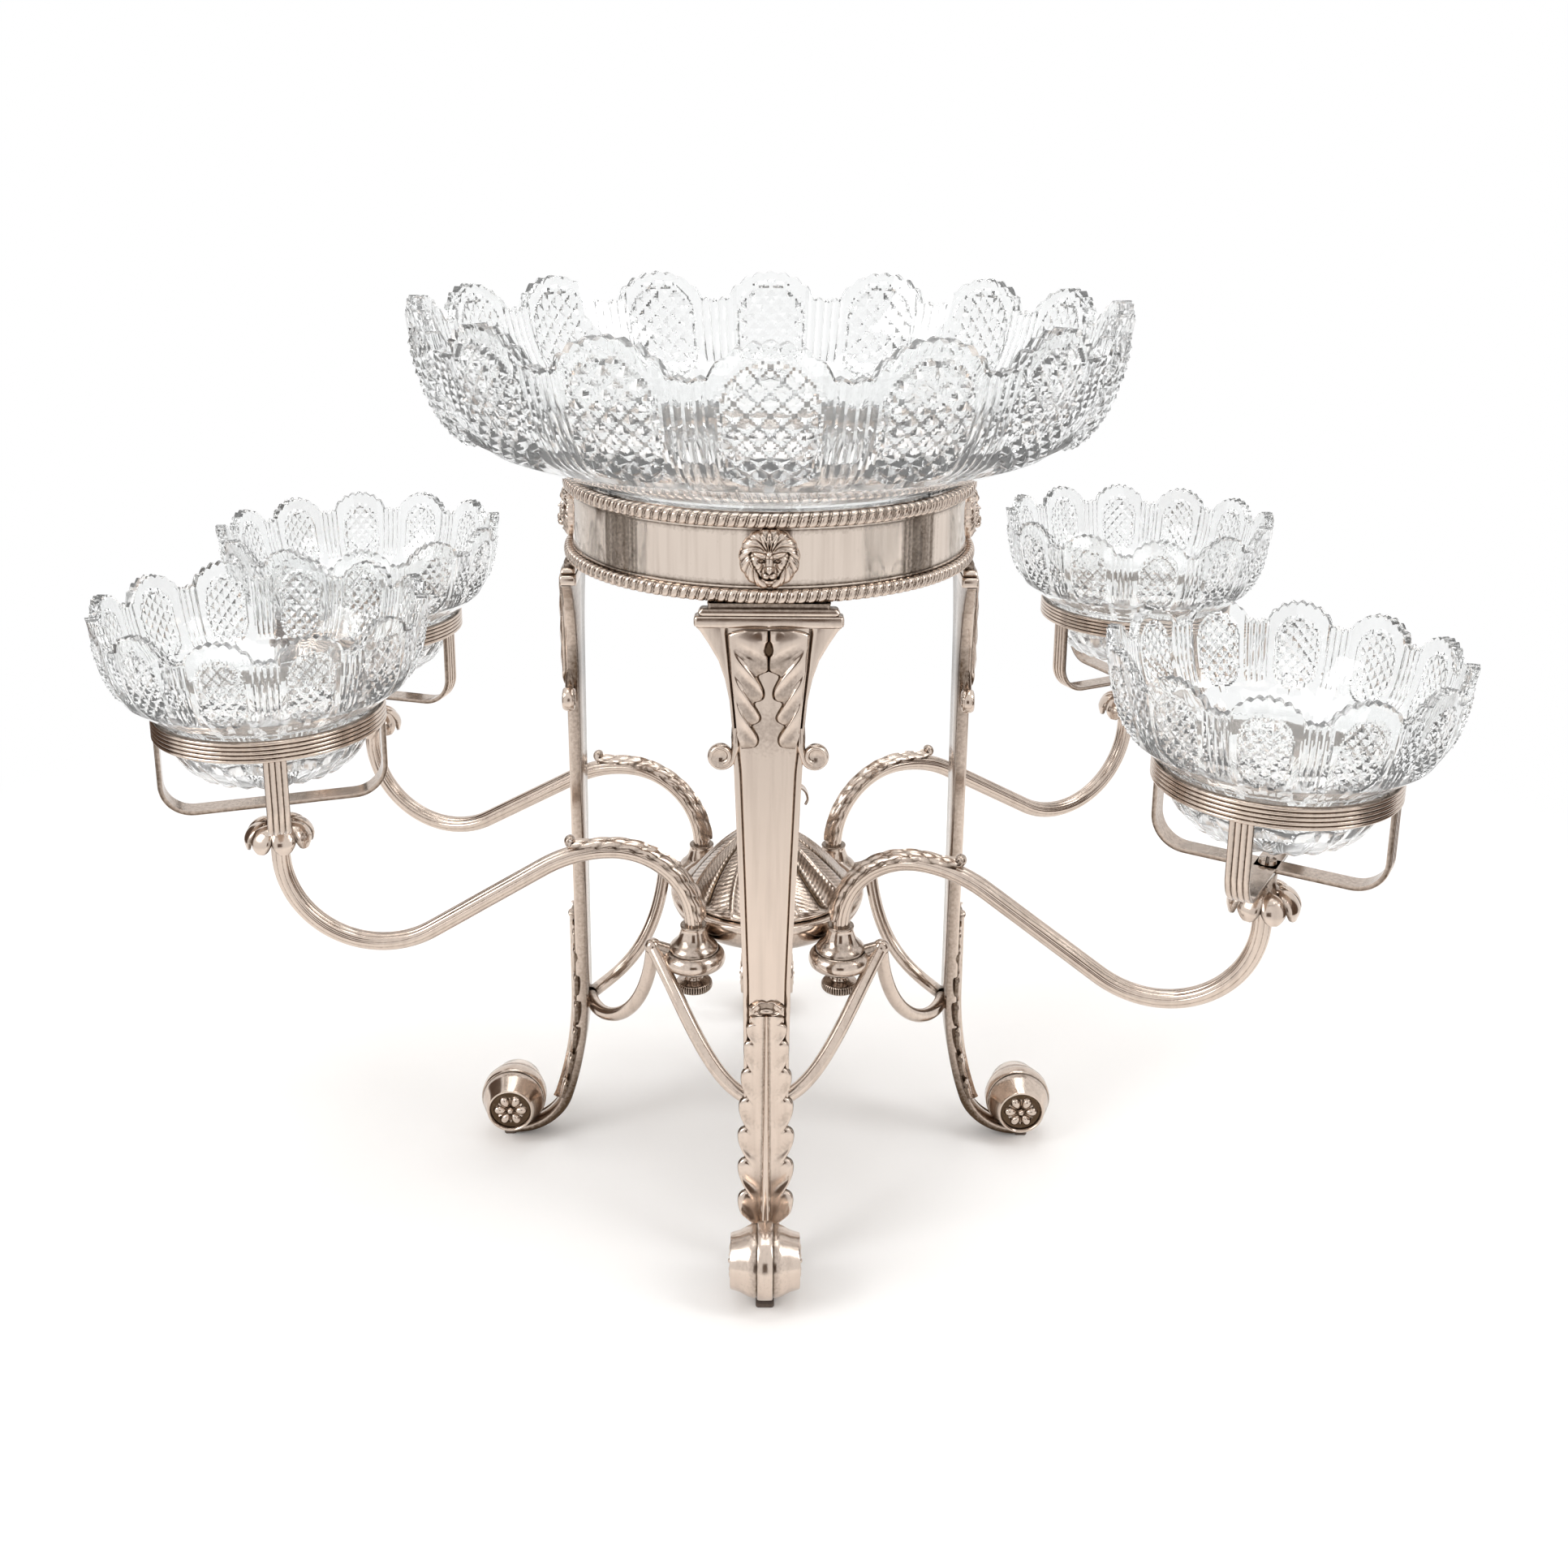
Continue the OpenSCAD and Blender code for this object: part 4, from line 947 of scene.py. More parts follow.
def leaf_half(sign):
    edge = evenly(smooth(inner_edge, 500), 200)
    z_in = edge[:, 0:1]
    z_out = np.minimum(np.interp(z_in, notches, flute_tops), leaf_top_z)
    shoulder = 5.0 * unit((z_out - leaf_top_z + 2.4) / 2.4) ** 2.5
    x_out = groove_x(z_out) - 0.2 - shoulder
    u = np.linspace(0, 1, 44)[None, :]
    x = x_out + (edge[:, 1:2] - x_out) * u
    z = z_out + (z_in - z_out) * u**1.15
    f = np.interp(z_in, notches, np.arange(len(notches))) % 1
    deep = unit((u - 0.05) / 0.45) * unit((236 - z) / 10)
    wave = np.cos(2 * np.pi * (f - 0.72))
    notch = bell(np.minimum(f, 1 - f) / 0.1) * unit((u - 0.5) / 0.4)
    pillow = hump((2 * u - 1) ** 6)
    swell = 0.7 * unit(1 - (x / groove_x(z)) ** 2)
    proud = 0.2 + swell + 1.6 * pillow + 0.42 * wave * deep * pillow - 0.5 * notch * pillow
    # Painted shade: the first and last columns are dark, a painted contact shadow along both edges of the
    # leaf.
    shade = 0.04 + 0.38 * unit(-wave) * deep + 0.4 * notch + 0.9 * (u < 0.02) + 0.9 * (u > 0.98)
    # A narrow dark strip lies flat on the strap along the inner edge: a painted contact shadow round the
    # lobes and between them.
    shadow_strip_x = np.clip(edge[:, 1:2] - np.where(z_in > 224, 1.2, 0.5), 0, None)
    shadow_strip_lift = 0.9 * (1 - (shadow_strip_x / groove_x(z_in)) ** 2) - 0.22
    painted_shadow_strip = on_strap(sign * shadow_strip_x, z_in, shadow_strip_lift)
    back = on_strap(sign * x[:, [-1, 0]], z[:, [-1, 0]], -0.9)
    points = np.concatenate([on_strap(sign * x, z, proud), painted_shadow_strip, back], axis=1)
    return tube(points, np.concatenate([shade, np.full((len(z), 3), 0.95)], axis=1))


print("leaf halves from", inner_edge[-1, 0], "to", inner_edge[0, 0])

# %% [markdown]
# ### Scrolls beside the leaf
# Each half ends in a little scroll that turns outwards and curls in round a small hollow dish. It is
# a rounded ribbon along a spiral, and could be a bevelled curve. A net is used so that it can join
# the leaf as one mesh.

# %% Scrolls
volute_x = 15.7
volute_z = 190.5
volute_rows = 90
strap_out = leg_r + strap_t / 2 - slim


def volute(sign):
    turn = np.linspace(0.02, 1.2, 70) * 2 * math.pi
    size = 4.0 - 1.6 * np.linspace(0, 1, 70) ** 1.5
    spiral = np.column_stack([volute_x - size * np.cos(turn), volute_z - size * np.sin(turn)])
    lead = smooth([(10.6, 200.5), (10.7, 197.0), (10.9, 193.6), spiral[0]], 16)[:-1]
    path = evenly(np.vstack([lead, spiral]), volute_rows)
    a = circle(16)
    t = np.linspace(0, 1, volute_rows)[:, None]
    wide = np.interp(t, [0, 0.1, 0.3, 0.8, 1], [1.6, 1.7, 1.15, 0.95, 1.3])
    deep = np.interp(t, [0, 0.15, 0.5, 1], [1.4, 1.9, 2.2, 2.2])
    x, z = beside(path, -wide * np.sin(a))
    ribbon = np.stack([strap_out - 1.2 + deep * np.cos(a), sign * x, z], -1)
    ring = np.linspace(0.02, 1, 12)[:, None]
    round_a = circle(40)[None, :]
    dish_x = sign * (volute_x + 3.4 * ring * np.cos(round_a))
    dish_z = volute_z + 3.4 * ring * np.sin(round_a)
    dish = np.stack(np.broadcast_arrays(strap_out - 0.2 + 1.1 * ring**2, dish_x, dish_z), -1)
    back = dish[::-1] - np.array([1.6, 0, 0])
    return joined(tube(ribbon, 0.1 + 0.6 * (np.sin(a) < -0.6)), tube(np.concatenate([dish, back]), 0.3))


part = joined(leaf_half(-1), leaf_half(1), volute(-1), volute(1))
on_each_leg("acanthus_", mesh_of("acanthus_halves", part, silver, 60), "capital_leaves")
print("scrolls at a height of", volute_z)

# %% [markdown]
# ### Oak leaf on the lower leg
# A long cast leaf with seven pairs of round lobes lies on the foot of the strap, with a tapered
# midrib. Single lobes could be laid side by side, but the leaf is one sheet with soft folds between
# its lobes. The lobes point out and up, so a point near the edge is lifted along the strap.

# %% Lower leaf
leaf_low_z = 14.0
leaf_high_z = 95.5
pairs = 7


def lower_leaf(sign):
    v = np.linspace(0, pairs, pairs * 36 + 1)[:, None]
    start = 0.35
    widest = 0.72
    phase = (v + start) % 1
    rise = np.sin(np.pi / 2 * unit(phase / widest)) ** 0.9
    fall = hump(((phase - widest) / (1 - widest)) ** 2)
    lobe = np.where(phase < widest, rise, fall)
    tip_w = np.interp(v, [0, 2.7, 3.7, 4.7, 5.7, 6.7, 7], [9.9, 10.1, 9.5, 8.7, 7.6, 6.9, 6.7])
    notch = np.interp(v, [0, 4, 5, 6, 7], [3.0, 2.9, 2.6, 2.1, 1.7])
    u = np.linspace(0, 1, 30)[None, :]
    x = u * (tip_w - notch * (1 - lobe))
    base_z = leaf_low_z + (leaf_high_z - leaf_low_z) * v / pairs
    z = base_z + 7.5 * u**1.3 * unit((pairs - v) / 1.5) - 1.5 * u
    fold = bell(phase / 0.1) * unit((u - 0.6) / 0.35)
    vein = bell((phase - 0.5) / 0.2) * unit((u - 0.15) / 0.5) * unit((1.0 - u) / 0.2)
    rib = np.interp(v, [0, 7], [1.35, 0.5])
    proud = 0.3 + 1.3 * hump(u**10) - 0.2 * fold - 0.35 * vein + 1.3 * hump((x / rib) ** 2)
    beside_rib = bell((x - rib - 0.35) / 0.4)
    shade = 0.08 + 0.35 * fold + 0.2 * vein + 0.7 * (u > 0.98) + 0.5 * beside_rib
    back = on_strap(sign * x[:, [-1, 0]], z[:, [-1, 0]], -0.8)
    points = np.concatenate([on_strap(sign * x, z, proud), back], axis=1)
    return tube(points, np.concatenate([shade, np.full((len(v), 2), 0.8)], axis=1))


print("oak leaf from", leaf_low_z, "to", leaf_high_z)

# %% [markdown]
# ### Cartouche
# A small scrolled shield closes the top of the oak leaf: two curls, a lip and a hollow between them.
# It is only some millimetres high, so a relief over an oval net is enough.

# %% Cartouche
cartouche_z = 97.6


def cartouche():
    out = np.linspace(0, 1, 26)[:, None]
    around = circle(72)[None, :]
    dip = bell(np.cos(around) / 0.22) * (np.sin(around) > 0)
    x = (5.9 + 0.5 * np.cos(2 * around)) * out * np.cos(around)
    y = (3.3 - 0.75 * dip) * out * np.sin(around)
    rim = bell((out - 0.86) / 0.1)
    height = 0.7 + 1.1 * rim * unit(0.55 + 0.45 * np.abs(np.cos(around)))
    for side in (-1, 1):
        height = height + 1.2 * bump(x, y, side * 3.9, 0.6, 1.7, 1.8)
    height = height + 1.1 * bump(x, y, 0, -1.0, 2.6, 1.1)
    height = height * np.sqrt(unit((1.0 - out) / 0.08)) - 0.3
    return tube(on_strap(x, cartouche_z + y, height + 0.4), 0.8 - 0.5 * height, capped=False)


part = joined(lower_leaf(-1), lower_leaf(1), cartouche())
on_each_leg("oak_leaf_", mesh_of("oak_leaf", part, silver, 60), "leg_leaves")
print("cartouche at a height of", cartouche_z)

# %% [markdown]
# ### Scroll feet
# The strap ends under a scroll that looks like two cups back to back: a raised belt in the middle,
# sides that fall away, and sunk ends. It could be rolled up from the strap, but its windings are not
# seen, so it is turned from a profile and laid on its side.

# %% Feet
belt_r = half_size("foot_right")[2]
scroll_r = belt_r - 0.6
scroll_w = half_size("foot_right")[1]
scroll_z = middle("foot_right")[2]
end_r = 9.2
belt_w = 2.6
# Each point is a radius, a distance from the middle and its tarnish, from the end to the belt.
scroll_half = [
    (0.01, scroll_w - 1.2, 0.95), (end_r - 1.5, scroll_w - 1.2, 0.95), (end_r - 1.35, scroll_w - 0.5, 0.7),
    (end_r - 0.9, scroll_w - 0.02, 0.1), (end_r - 0.3, scroll_w - 0.1, 0.0), (end_r, scroll_w - 0.6, 0.05),
    (end_r + 0.75, scroll_w * 0.72, 0.1), (scroll_r - 0.75, scroll_w * 0.47, 0.15),
    (scroll_r - 0.1, belt_w + 0.9, 0.35), (scroll_r - 0.25, belt_w + 0.15, 0.9),
    (belt_r - 0.35, belt_w, 0.3), (belt_r - 0.05, belt_w - 0.5, 0.1)]
left_half = [(radius, -wide, darkening) for radius, wide, darkening in scroll_half]
line = np.array(left_half + [(belt_r, 0.0, 0.1)] + scroll_half[::-1])
part = tube(turned(line[:, 0], line[:, 1], circle(96)), line[:, 2:], capped=False)
lie = Matrix.Translation((foot_r, 0, scroll_z)) @ Matrix.Rotation(math.radians(90), 4, "X")
on_each_leg("scroll_", mesh_of("scroll_foot", moved(part, lie), silver, 35), "foot_")
print("scroll foot radius", round(scroll_r, 1), "half width", round(scroll_w, 1))

# %% [markdown]
# ### Flowers in the feet
# A cast flower with six round petals about a button, and pointed sepals between them, fills each end
# of a scroll on dark ground. One petal could be modelled and copied, but a relief over a round net
# gives all six at once, because the angle is folded into one sixth.

# %% Flowers


def flower():
    out = np.linspace(0, 1, 28)[:, None]
    around = circle(120)[None, :]
    r = (end_r - 1.6) * out
    near = (around + np.pi / 6) % (np.pi / 3) - np.pi / 6
    x = r * np.cos(near)
    y = r * np.sin(near)
    petals = 1.7 * hump(((x - 4.2) / 2.35) ** 2 + (y / (1.0 + 0.16 * x)) ** 2)
    between = (around + np.pi / 3) % (np.pi / 3) - np.pi / 6
    sepal_x = r * np.cos(between)
    point = unit(1 - np.abs(r * np.sin(between)) / (0.16 * sepal_x + 0.02))
    sepals = 0.7 * point * (sepal_x < 5.4) * (sepal_x > 0.5)
    button = 2.1 * hump((r / 1.35) ** 2)
    height = np.maximum(np.maximum(petals, sepals), button)
    points = np.stack([r * np.cos(around), r * np.sin(around), height], -1)
    return tube(points, unit(1.15 - 1.5 * height), capped=False)


ends = []
for sign in (-1, 1):
    face_out = Matrix.Translation((foot_r, sign * (scroll_w - 1.25), scroll_z))
    ends.append(moved(flower(), face_out @ Matrix.Rotation(math.radians(-90 * sign), 4, "X")))
on_each_leg("flowers_", mesh_of("scroll_flowers", joined(*ends), silver, 60), "foot_rosettes")
print("flowers:", round(2 * (end_r - 1.6), 1), "mm across")

# %% [markdown]
# ### Pads
# The felt pad under each foot is a small rounded block with soft edges. A cube with a bevel would do
# as well; the outline of the capitals is used again because it is at hand.

# %% Pads
pad_out = foot_r + 1.75
outline = rounded(2.4, 3.2, 1.0, 8)
rows = []
for up, grow in ((0.02, -0.35), (0.35, 0.0), (1.0, 0.0), (pad_h - 0.02, -0.25)):
    x = pad_out + outline[:, 0] * (1 + grow / 5)
    rows.append(np.column_stack([x, outline[:, 1] * (1 + grow / 9), np.full(len(outline), up)]))
on_each_leg("pad_", mesh_of("felt_pad", tube(np.array(rows)), felt, 50), "foot_pads")
print("pads:", round(pad_h, 1), "mm high")

# %% [markdown]
# ## Brackets
# Bent rods carry each socket: one rises from the side leg, one from the front or back leg, and they
# meet in a knot beside the socket. Curves with a round bevel could make them. Here a round section is
# carried along a curve of four control points, the same as in the CAD model, because the arms need
# the same helper for their reeds.

# %% Rods along a path


def bow(points, count):
    """A curve that starts at the first point, ends at the last and bends towards the two between."""
    p = np.asarray(points, float)
    t = np.linspace(0, 1, count)[:, None]
    return p[0] * (1 - t) ** 3 + 3 * p[1] * t * (1 - t) ** 2 + 3 * p[2] * t**2 * (1 - t) + p[3] * t**3


def drawn(path, radius, sides=20, start=(0, 0, 1)):
    """A rod along a path; the section is carried along without twisting."""
    ahead = ahead_of(path)
    across = np.empty_like(path)
    last = np.asarray(start, float)
    for i, direction in enumerate(ahead):
        last = last - direction * last.dot(direction)
        last = last / np.linalg.norm(last)
        across[i] = last
    up = np.cross(ahead, across)
    a = circle(sides)[:, None]
    ring = across[:, None] * np.cos(a) + up[:, None] * np.sin(a)
    return path[:, None] + np.broadcast_to(radius, (len(path), sides))[..., None] * ring


print("sides of a rod:", drawn(np.eye(3), 1.0).shape[1])

# %% [markdown]
# ### One bracket, mirrored
# The rods of one corner are drawn, with a ball where they meet and a stub to the socket. The others
# are the same in a mirror. A negative scale would do that too, but it turns faces inside out, so the
# points are mirrored before the mesh is made.

# %% Brackets
rod_r = 2.6
low = 58.0
socket_r = half_size("socket_fl")[0]
socket_x, socket_y = middle("socket_br")[:2] - axis
socket_z = 95.0
start = leg_r - strap_t / 2
knot = np.array([socket_x + socket_r + 3.5, socket_y - 0.6, socket_z + 5.5])
side_points = [(start - 0.4, 1.0, low + 3), (start - 6, 20, low), (knot[0] + 3, knot[1] - 8, low + 6), knot]
front_points = [(1.0, start - 0.4, low), (18, start - 1, low), (28, start - 16, low + 24), knot]
stub = np.linspace(knot, (socket_x + socket_r * 0.8, socket_y, socket_z + 3.5), 8)
darkening = np.clip(0.75 - np.linspace(0, 6, 60), 0.12, 1)[:, None]
polar = np.linspace(0, math.pi, 14)
ball_r = rod_r + 0.5
ball = turned(ball_r * np.sin(polar), -ball_r * np.cos(polar), circle(24))
rods = joined(tube(drawn(bow(side_points, 60), rod_r), darkening),
              tube(drawn(bow(front_points, 60), rod_r), darkening),
              tube(drawn(stub, np.linspace(rod_r, ball_r, 8)[:, None]), 0.45),
              moved(tube(ball, 0.25, capped=False), Matrix.Translation(knot)))
for corner, (sign_x, sign_y) in zip(CORNERS, ((-1, -1), (1, -1), (1, 1), (-1, 1))):
    flip = Matrix.Diagonal((sign_x, sign_y, 1, 1))
    mesh = mesh_of("bracket_rods_" + corner, moved(rods, flip), silver, 50)
    piece("bracket_rods_" + corner, mesh, placed(), "stand", "bracket_" + corner)
print("rods:", 2 * rod_r, "mm thick")

# %% [markdown]
# ## Hub and sockets
# A dished pan holds the four sockets together, and each socket is a turned ring that takes an arm.
# Both came off a lathe or were spun, so a round line is turned about the axis. Their colour is darker by
# height: on the undersides and along the joints.

# %% Sockets and pan


def lathe(points, z, count, columns, darkening=((0, 0.15),)):
    """A turned part at a height; points are its profile, and darkening is how dark it is at some heights.
    """
    line = evenly(smooth(points, 300), count)
    shade = np.interp(line[:, 1], *zip(*darkening))[:, None]
    return tube(turned(line[:, 0], z + line[:, 1], circle(columns)), shade, capped=False)


bore_r = 9.2
socket_line = [(4.4, -2.4), (6.2, -2.5), (7.6, -2.2), (9.6, -1.6), (11.2, -0.3), (socket_r - 0.05, 1.5),
               (11.2, 3.3), (9.9, 4.7), (9.25, 4.9), (bore_r, 3.5), (bore_r, 0.1), (4.4, 0.05)]
darkening = [(-2.5, 0.8), (-1, 0.35), (2, 0.1), (4, 0.2), (5, 0.6)]
socket_mesh = mesh_of("socket_ring", lathe(socket_line, socket_z, 70, 72, darkening), silver, 50)
for corner in CORNERS:
    piece("socket_ring_" + corner, socket_mesh, socket_place[corner], "stand", "socket_" + corner)

pan_z = span("hub_pan")[1][2]
pan_r = half_size("hub_pan")[0]
pan_line = [(0.05, -15.6), (10, -15.5), (16, -15.4), (25, -14), (31, -11.6), (34.8, -8),
            (pan_r - 0.7, -4.2), (pan_r - 0.05, -1.6), (pan_r - 0.5, -0.3), (pan_r - 2, 0), (30, -0.4),
            (0.05, -0.4)]
darkening = [(-16, 0.7), (-12, 0.5), (-6, 0.25), (-1, 0.15)]
pan_mesh = mesh_of("hub_dish", lathe(pan_line, pan_z, 80, 128, darkening), silver, 50)
piece("hub_dish", pan_mesh, placed(), "stand", "hub_pan")
print("pan:", round(2 * pan_r, 1), "mm across")

# %% [markdown]
# ### The dome
# The lid of the pan is a waisted dome. A chaser punched eight broad leaves into it: each has a raised
# midrib, fine veins at a slant and a deep line between it and the next, and they swirl a little. A
# bump map could show them, but the light grazes the dome, so the chasing is real relief.

# %% Dome
dome_top = span("hub_dome")[1][2]
leaves = 8


def dome():
    points = [(33, 0), (33, 0.9), (30.4, 2.6), (26, 8), (20, 14.4), (14, 19.6), (9, 22.8), (6, 25),
              (5, dome_top - pan_z), (0.05, dome_top - pan_z)]
    line = evenly(smooth(points, 300), 110) + np.array([0, pan_z])
    along = np.linspace(0, 1, len(line))[:, None]
    angle = circle(leaves * 40)
    swirl = 0.32 * along**0.8
    f = ((angle + swirl) * leaves / (2 * np.pi)) % 1
    mid = np.abs(f - 0.5) * 2
    rib = bell(mid / 0.09)
    edge = bell((1 - mid) / 0.1)
    veins = np.abs(np.sin((along * 26 + mid * 3.2) * np.pi)) ** 0.6
    zone = unit(along / 0.1) * unit((0.8 - along) / 0.12)
    relief = 0.75 * rib - 0.5 * edge + 0.28 * veins * (1 - rib) * (1 - edge) + 0.35 * (1 - mid)
    radius, height = beside(line, -zone * (relief - 0.4))
    shade = zone * (0.9 * edge + 0.55 * (1 - veins) * (1 - rib)) + 0.2
    return tube(turned(np.maximum(radius, 0.02), height, angle), shade, capped=False)


piece("hub_lid", mesh_of("hub_lid", dome(), silver, 60), placed(), "stand", "hub_dome")
print("dome:", leaves, "leaves up to", round(dome_top, 1))

# %% [markdown]
# ### The finial
# Three leaves cut from sheet curl over from a turned stem on top of the dome. A plane with a bend
# would do for one leaf. A net along a path is used because the leaf is hollow across, has a
# thickness, and serves again for the curled tips of the arms' leaves.

# %% Finial


def curled_leaf(path, half_width, thick):
    """A thin leaf along a path in the x z plane, hollow across, as a closed sheet."""
    f = np.concatenate([np.linspace(-1, 1, 11), np.linspace(1, -1, 11)])
    side = np.concatenate([np.ones(11), -np.ones(11)])
    cup = 0.25 * half_width[:, None] * f**2
    x, z = beside(path, cup + side * thick / 2 * np.sqrt(unit(1.02 - f**2)))
    return tube(np.stack([x, half_width[:, None] * f, z], -1), 0.2 + 0.2 * (side < 0))


stem_line = [(3.7, -0.5), (3.9, 1.2), (2.6, 3.2), (2.5, 9), (3.2, 11.4), (2.6, 14.5), (0.05, 16)]
stem = lathe(stem_line, dome_top, 40, 40)
leaf_line = [(1.6, 2), (2.2, 7), (4.6, 12.4), (9.4, 14.9), (13.6, 13.2), (15.2, 9.6), (14.4, 6.9)]
path = evenly(smooth(leaf_line, 200), 50) + np.array([0, dome_top])
wide = np.interp(np.linspace(0, 1, 50), [0, 0.35, 0.75, 0.95, 1], [1.6, 2.6, 2.2, 1.0, 0.4])
leaf = curled_leaf(path, wide, 1.0)
leaf_turns = [Matrix.Rotation(math.radians(turn), 4, "Z") for turn in (0, 120, 240)]
finial = mesh_of("hub_leaf_finial", joined(stem, *(moved(leaf, turn) for turn in leaf_turns)), silver, 50)
piece("hub_leaf_finial", finial, placed(), "stand", "hub_finial")
print("finial:", len(leaf_turns), "leaves")

# %% [markdown]
# ## Arms
# An arm is a reeded tube bent to an S: up out of its ferrule, over a crest, down and up again under
# the bowl. Its path could be drawn by eye as a curve; it is made of arcs and one straight run that
# touches two of them, because the CAD model has the same arcs. The reeds are a wavy section that is
# carried along the path.

# %% Reeded tube
arm_r = 3.3
bend_a = 30.0
bend_b = 48.0
bend_c = 35.0
arm_low = 104.5
ferrule_top = 110.0
arm_end = 146.0
reeds = 10
reed_sides = reeds * 8


def arc(centre, radius, start, stop, count):
    """Points of an arc in the x z plane; angles are degrees."""
    a = np.radians(np.linspace(start, stop, count))
    return np.column_stack([centre[0] + radius * np.cos(a), centre[1] + radius * np.sin(a)])


crest = np.array([bend_a, ferrule_top + bend_a - bend_b])
outer_bend = np.array([arm_l - bend_c, arm_low + bend_c])
gap = outer_bend - crest
slope_deg = math.degrees(math.asin((bend_b + bend_c) / np.hypot(*gap)) - math.atan2(gap[1], gap[0]))
arm_line = np.vstack([[(0, ferrule_top - 3)], arc((bend_a, ferrule_top), bend_a, 180, 90, 40),
                      arc(crest, bend_b, 90, 90 - slope_deg, 24)[1:],
                      arc(outer_bend, bend_c, 270 - slope_deg, 360, 60), [(arm_l, arm_end + 2)]])
arm_line = evenly(arm_line, 170)
path = np.column_stack([arm_line[:, 0], np.zeros(len(arm_line)), arm_line[:, 1]])
wave = np.abs(np.cos(circle(reed_sides) * reeds / 2)) ** 0.7
points = drawn(path, arm_r - 0.26 * (1 - wave), reed_sides, (0, 1, 0))
reeded_arm = tube(points, np.clip(0.55 * (1 - wave) ** 2, 0.05, 1))
print("arm: the straight run falls by", round(slope_deg, 1), "degrees")

# %% [markdown]
# ### The arms' leaves
# A chased leaf is wrapped over the outer side of the first bend and ends in a curled knob. A flat leaf
# could be bent round with a modifier. It is drawn on the arm itself: each point has a place along the
# bend and an angle round the tube.

# %% Arm leaf
leaf_lobes = 9


def arm_leaf():
    steps = np.vstack([arc((bend_a, ferrule_top), bend_a, 176, 90, 90),
                       arc(crest, bend_b, 90, 90 - slope_deg * 0.5, 40)[1:]])
    path = evenly(steps, 150)
    t = np.linspace(0, 1, len(path))[:, None]
    f = np.linspace(-1, 1, 25)[None, :]
    lobe = 0.84 + 0.16 * np.abs(np.sin(t * leaf_lobes * np.pi)) ** 0.6
    turn = np.radians(np.interp(t, [0, 0.15, 0.6, 0.9, 1], [86, 88, 78, 60, 40])) * lobe * f
    rib = 0.7 * bell(f / 0.09)
    veins = np.abs(np.sin((t * leaf_lobes - np.abs(f) * 0.8) * np.pi)) ** 0.7
    lift = arm_r + 0.25 + 0.75 * np.sqrt(unit(1.02 - f**2)) * (0.55 + 0.45 * veins) + rib
    lift = lift + np.interp(t, [0, 0.9, 1], [0, 0, 1.0])
    lift = np.concatenate([lift, np.full((len(path), 2), arm_r - 0.6)], axis=1)
    turn = np.concatenate([turn, turn[:, [-1, 0]]], axis=1)
    x, z = beside(path, lift * np.cos(turn))
    shade = 0.55 * (1 - veins) + 0.5 * np.abs(f) ** 6
    shade = np.concatenate([shade, np.full((len(path), 2), 0.9)], axis=1)
    leaf = tube(np.stack([x, lift * np.sin(turn), z], -1), shade)
    tip = path[-1] + left_of(path)[-1] * (arm_r + 0.7)
    heading = math.atan2(*ahead_of(path)[-1][::-1])
    a = np.radians(np.linspace(-40, 260, 36)) - heading
    size = 0.9 * np.linspace(2.6, 1.2, 36)
    curl_path = np.column_stack([tip[0] + 0.6 + size * np.sin(a), tip[1] + 1.5 - size * np.cos(a)])
    return joined(leaf, curled_leaf(evenly(curl_path, 36), np.linspace(2.6, 2.0, 36), 1.0))


arm_mesh = mesh_of("reeded_arm", joined(reeded_arm, arm_leaf()), silver, 60)
on_each_arm("reeded_arm_", arm_mesh, "arm_", "arm_")
print("arm leaf:", leaf_lobes, "lobes")

# %% [markdown]
# ### Ferrules
# The ferrule is a turned trumpet at the foot of the arm that sits in its socket. Like the sockets, it is a
# round line turned about the axis, darker under its shoulder.

# %% Ferrules
base_z = socket_z + 0.1
top = ferrule_top - base_z
ferrule_line = [(4.15, -2.7), (4.15, 0.05), (9.05, 0.1), (9.1, 2), (9.1, 5.2), (8.9, 6.2), (8.0, 7.3),
                (7.0, 8.2), (5.9, 9.6), (5.0, 12), (4.75, top - 1.4), (4.95, top - 0.7), (4.7, top),
                (arm_r - 0.5, top)]
darkening = [(-3.1, 0.8), (5, 0.7), (6.6, 0.25), (9, 0.45), (11, 0.1), (top - 1, 0.15), (top, 0.7)]
ferrule_mesh = mesh_of("trumpet_ferrule", lathe(ferrule_line, base_z, 90, 64, darkening), silver, 50)
on_each_arm("ferrule_turned_", ferrule_mesh, "arm_", "ferrule_")
print("ferrules:", round(top, 1), "mm high")

# %% [markdown]
# ### Thumbscrews
# A knurled thumbscrew holds each ferrule from below. Its rim was milled with a wheel, so that fingers
# can grip it. Teeth could be cut out with a boolean; it is quicker to draw the rim in where the wheel
# went.

# %% Thumbscrews
screw_top = socket_z - 2.7
teeth = 44
profile = np.array([
    (0.05, -8.3), (4.5, -8.35), (6.2, -8.2), (6.75, -7.6), (6.9, -6.6), (6.75, -5.6), (6.2, -5.0),
    (4.6, -4.6), (3.4, -4.1), (2.9, -3.0), (3.1, -1.6), (3.9, -0.7), (3.95, -0.15), (2.0, -0.12),
    (2.0, 6.5), (0.05, 6.8)])
line = evenly(profile, 90)
angle = circle(teeth * 6)
wave = np.abs(np.cos(angle * teeth / 2))
milled = unit((line[:, 0:1] - 6.3) / 0.4) * unit((-4.9 - line[:, 1:2]) / 0.3)
points = turned(line[:, 0:1] - 0.45 * milled * (1 - wave), screw_top + line[:, 1:2], angle)
part = tube(points, milled * (1 - wave) + 0.35, capped=False)
screw_mesh = mesh_of("knurled_thumbscrew", part, silver, 50)
on_each_arm("knurled_screw_", screw_mesh, "thumbscrew_", "thumbscrew_")
print("thumbscrews:", teeth, "teeth")

